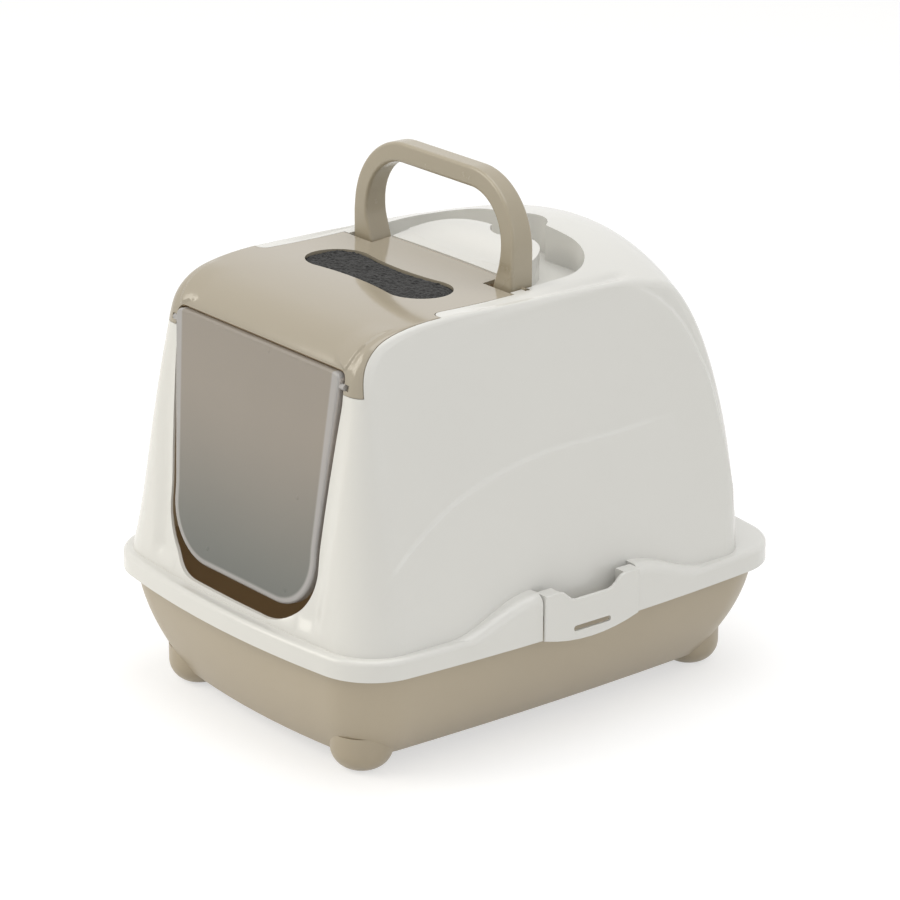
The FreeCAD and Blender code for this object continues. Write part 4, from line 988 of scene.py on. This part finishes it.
@dataclass
class Studio:
    """Pale floor, white surroundings, soft lamps and the camera."""

    eye: Point = (2.3434, -1.8953, 1.3005)
    aim: Point = (0.00068, 0.00328, 0.20535)
    roll: float = math.radians(0.32)
    focal_pixels: float = 3682.69
    image_pixels: float = 900.0
    floor_half: float = 9.0
    surround: float = 0.62

    def seen_directly(self, graph: Graph) -> bpy.types.NodeSocket:
        """1 for rays that show the surroundings to the camera, in gloss or through clear plastic."""
        ray = graph.add("ShaderNodeLightPath").outputs
        seen = graph.math("MAXIMUM", ray["Is Camera Ray"], ray["Is Glossy Ray"])
        return graph.math("MAXIMUM", seen, ray["Is Transmission Ray"])

    def build_world(self) -> None:
        """White where it is seen, and a plain soft light elsewhere."""
        world = bpy.data.worlds.new("studio")
        bpy.context.scene.world = world
        world.use_nodes = True
        graph = Graph(world.node_tree)
        seen = self.seen_directly(graph)
        warm = (1.0, 0.99, 0.97, 1.0)
        soft = graph.add("ShaderNodeBackground", {"Color": warm, "Strength": self.surround})
        white = graph.add("ShaderNodeBackground", {"Color": (1.0, 1.0, 1.0, 1.0), "Strength": 1.0})
        both = graph.add("ShaderNodeMixShader", {0: seen, 1: soft.outputs[0], 2: white.outputs[0]})
        graph.add("ShaderNodeOutputWorld", {"Surface": both.outputs[0]})

    def build_floor(self) -> None:
        """Flat floor at z = 0 that is white where it is seen and keeps the shadow."""
        u = np.linspace(-self.floor_half, self.floor_half, 9)
        x, y = np.meshgrid(u, u, indexing="ij")
        floor = new_piece("floor", np.stack([x, y, 0 * x], axis=-1), grid_faces(9, 9))
        if floor.data.polygons[0].normal.z < 0:
            floor.data.flip_normals()
        made = bpy.data.materials.new("floor_white")
        made.use_nodes = True
        graph = Graph(made.node_tree)
        seen = self.seen_directly(graph)
        bounce = graph.add("ShaderNodeBsdfDiffuse", {"Color": (0.92, 0.92, 0.91, 1.0)})
        pale = graph.add("ShaderNodeBsdfDiffuse", {"Color": (0.5, 0.5, 0.5, 1.0)})
        glow = graph.add("ShaderNodeEmission", {"Color": (1.0, 1.0, 1.0, 1.0), "Strength": 0.58})
        shown = graph.add("ShaderNodeAddShader", {0: pale.outputs[0], 1: glow.outputs[0]})
        both = graph.add("ShaderNodeMixShader", {0: seen, 1: bounce.outputs[0], 2: shown.outputs[0]})
        graph.add("ShaderNodeOutputMaterial", {"Surface": both.outputs[0]})
        floor.data.materials.append(made)

    def add_lamp(self, name: str, place: Point, size: float, watts: float, tint: Colour) -> None:
        """Square soft lamp that points at the box.

        Args:
            name: the lamp's name.
            place: where it hangs.
            size: side in metres.
            watts: its power.
            tint: its colour.
        """
        data = bpy.data.lights.new(name, "AREA")
        data.shape = "SQUARE"
        data.size = size
        data.energy = watts
        data.color = tint
        lamp = bpy.data.objects.new(name, data)
        back = np.array(place) - np.array([0.0, 0.0, 0.2])
        back /= np.linalg.norm(back)
        across = np.cross([0.0, 0.0, 1.0], back) if abs(back[2]) < 0.99 else np.array([1.0, 0.0, 0.0])
        across /= np.linalg.norm(across)
        turn = np.stack([across, np.cross(back, across), back], axis=1)
        lamp.matrix_world = Matrix.Translation(place) @ Matrix(turn.tolist()).to_4x4()
        bpy.context.scene.collection.objects.link(lamp)

    def add_glow(self, name: str, place: Point, watts: float, tint: Colour) -> None:
        """Weak lamp in the cabin, for the light that thin walls let through.

        Args:
            name: the lamp's name.
            place: where it hangs.
            watts: its power.
            tint: its colour.
        """
        data = bpy.data.lights.new(name, "POINT")
        data.shadow_soft_size = 0.06
        data.energy = watts
        data.color = tint
        lamp = bpy.data.objects.new(name, data)
        lamp.location = place
        bpy.context.scene.collection.objects.link(lamp)

    def build_lamps(self) -> None:
        """Key from the front, a top light, a weaker side light and the glow inside."""
        self.add_lamp("key", (-1.6, -2.6, 2.2), 2.2, 50.0, (1.0, 0.955, 0.85))
        self.add_lamp("top", (0.3, 0.2, 3.0), 2.6, 40.0, (1.0, 1.0, 1.0))
        self.add_glow("inside_glow", (0.0, -0.05, 0.22), 0.22, (1.0, 0.72, 0.45))
        self.add_lamp("side", (3.2, 0.6, 1.4), 2.0, 9.0, (0.97, 0.985, 1.0))

    def build_camera(self) -> None:
        """Camera at the photograph's place, for a square image."""
        data = bpy.data.cameras.new("camera")
        data.sensor_width = 36.0
        data.lens = self.focal_pixels / self.image_pixels * data.sensor_width
        data.clip_end = 100.0
        camera = bpy.data.objects.new("camera", data)
        back = np.array(self.eye) - np.array(self.aim)
        back /= np.linalg.norm(back)
        across = np.cross([0.0, 0.0, 1.0], back)
        across /= np.linalg.norm(across)
        rise = np.cross(back, across)
        right = math.cos(self.roll) * across + math.sin(self.roll) * rise
        up = np.cross(back, right)
        turn = Matrix(np.stack([right, up, back], axis=1).tolist()).to_4x4()
        camera.matrix_world = Matrix.Translation(self.eye) @ turn
        bpy.context.scene.collection.objects.link(camera)
        bpy.context.scene.camera = camera

    def build(self) -> None:
        """Set the stage."""
        bpy.context.scene.view_settings.view_transform = "Standard"
        self.build_world()
        self.build_floor()
        self.build_lamps()
        self.build_camera()
        LOG.info("stage set")


def main() -> None:
    """Build the box's pieces in order, then the stage."""
    logging.basicConfig(level=logging.INFO, format="%(message)s")
    effects = SharedEffects()
    effects.build()
    finishes = Finishes(effects)
    finishes.build()
    for part in (TrayBase, Hood, FrontLid, FlapDoor, CarryHandle, SideClips):
        part(finishes).build()
    Studio().build()


if __name__ == "__main__":
    main()
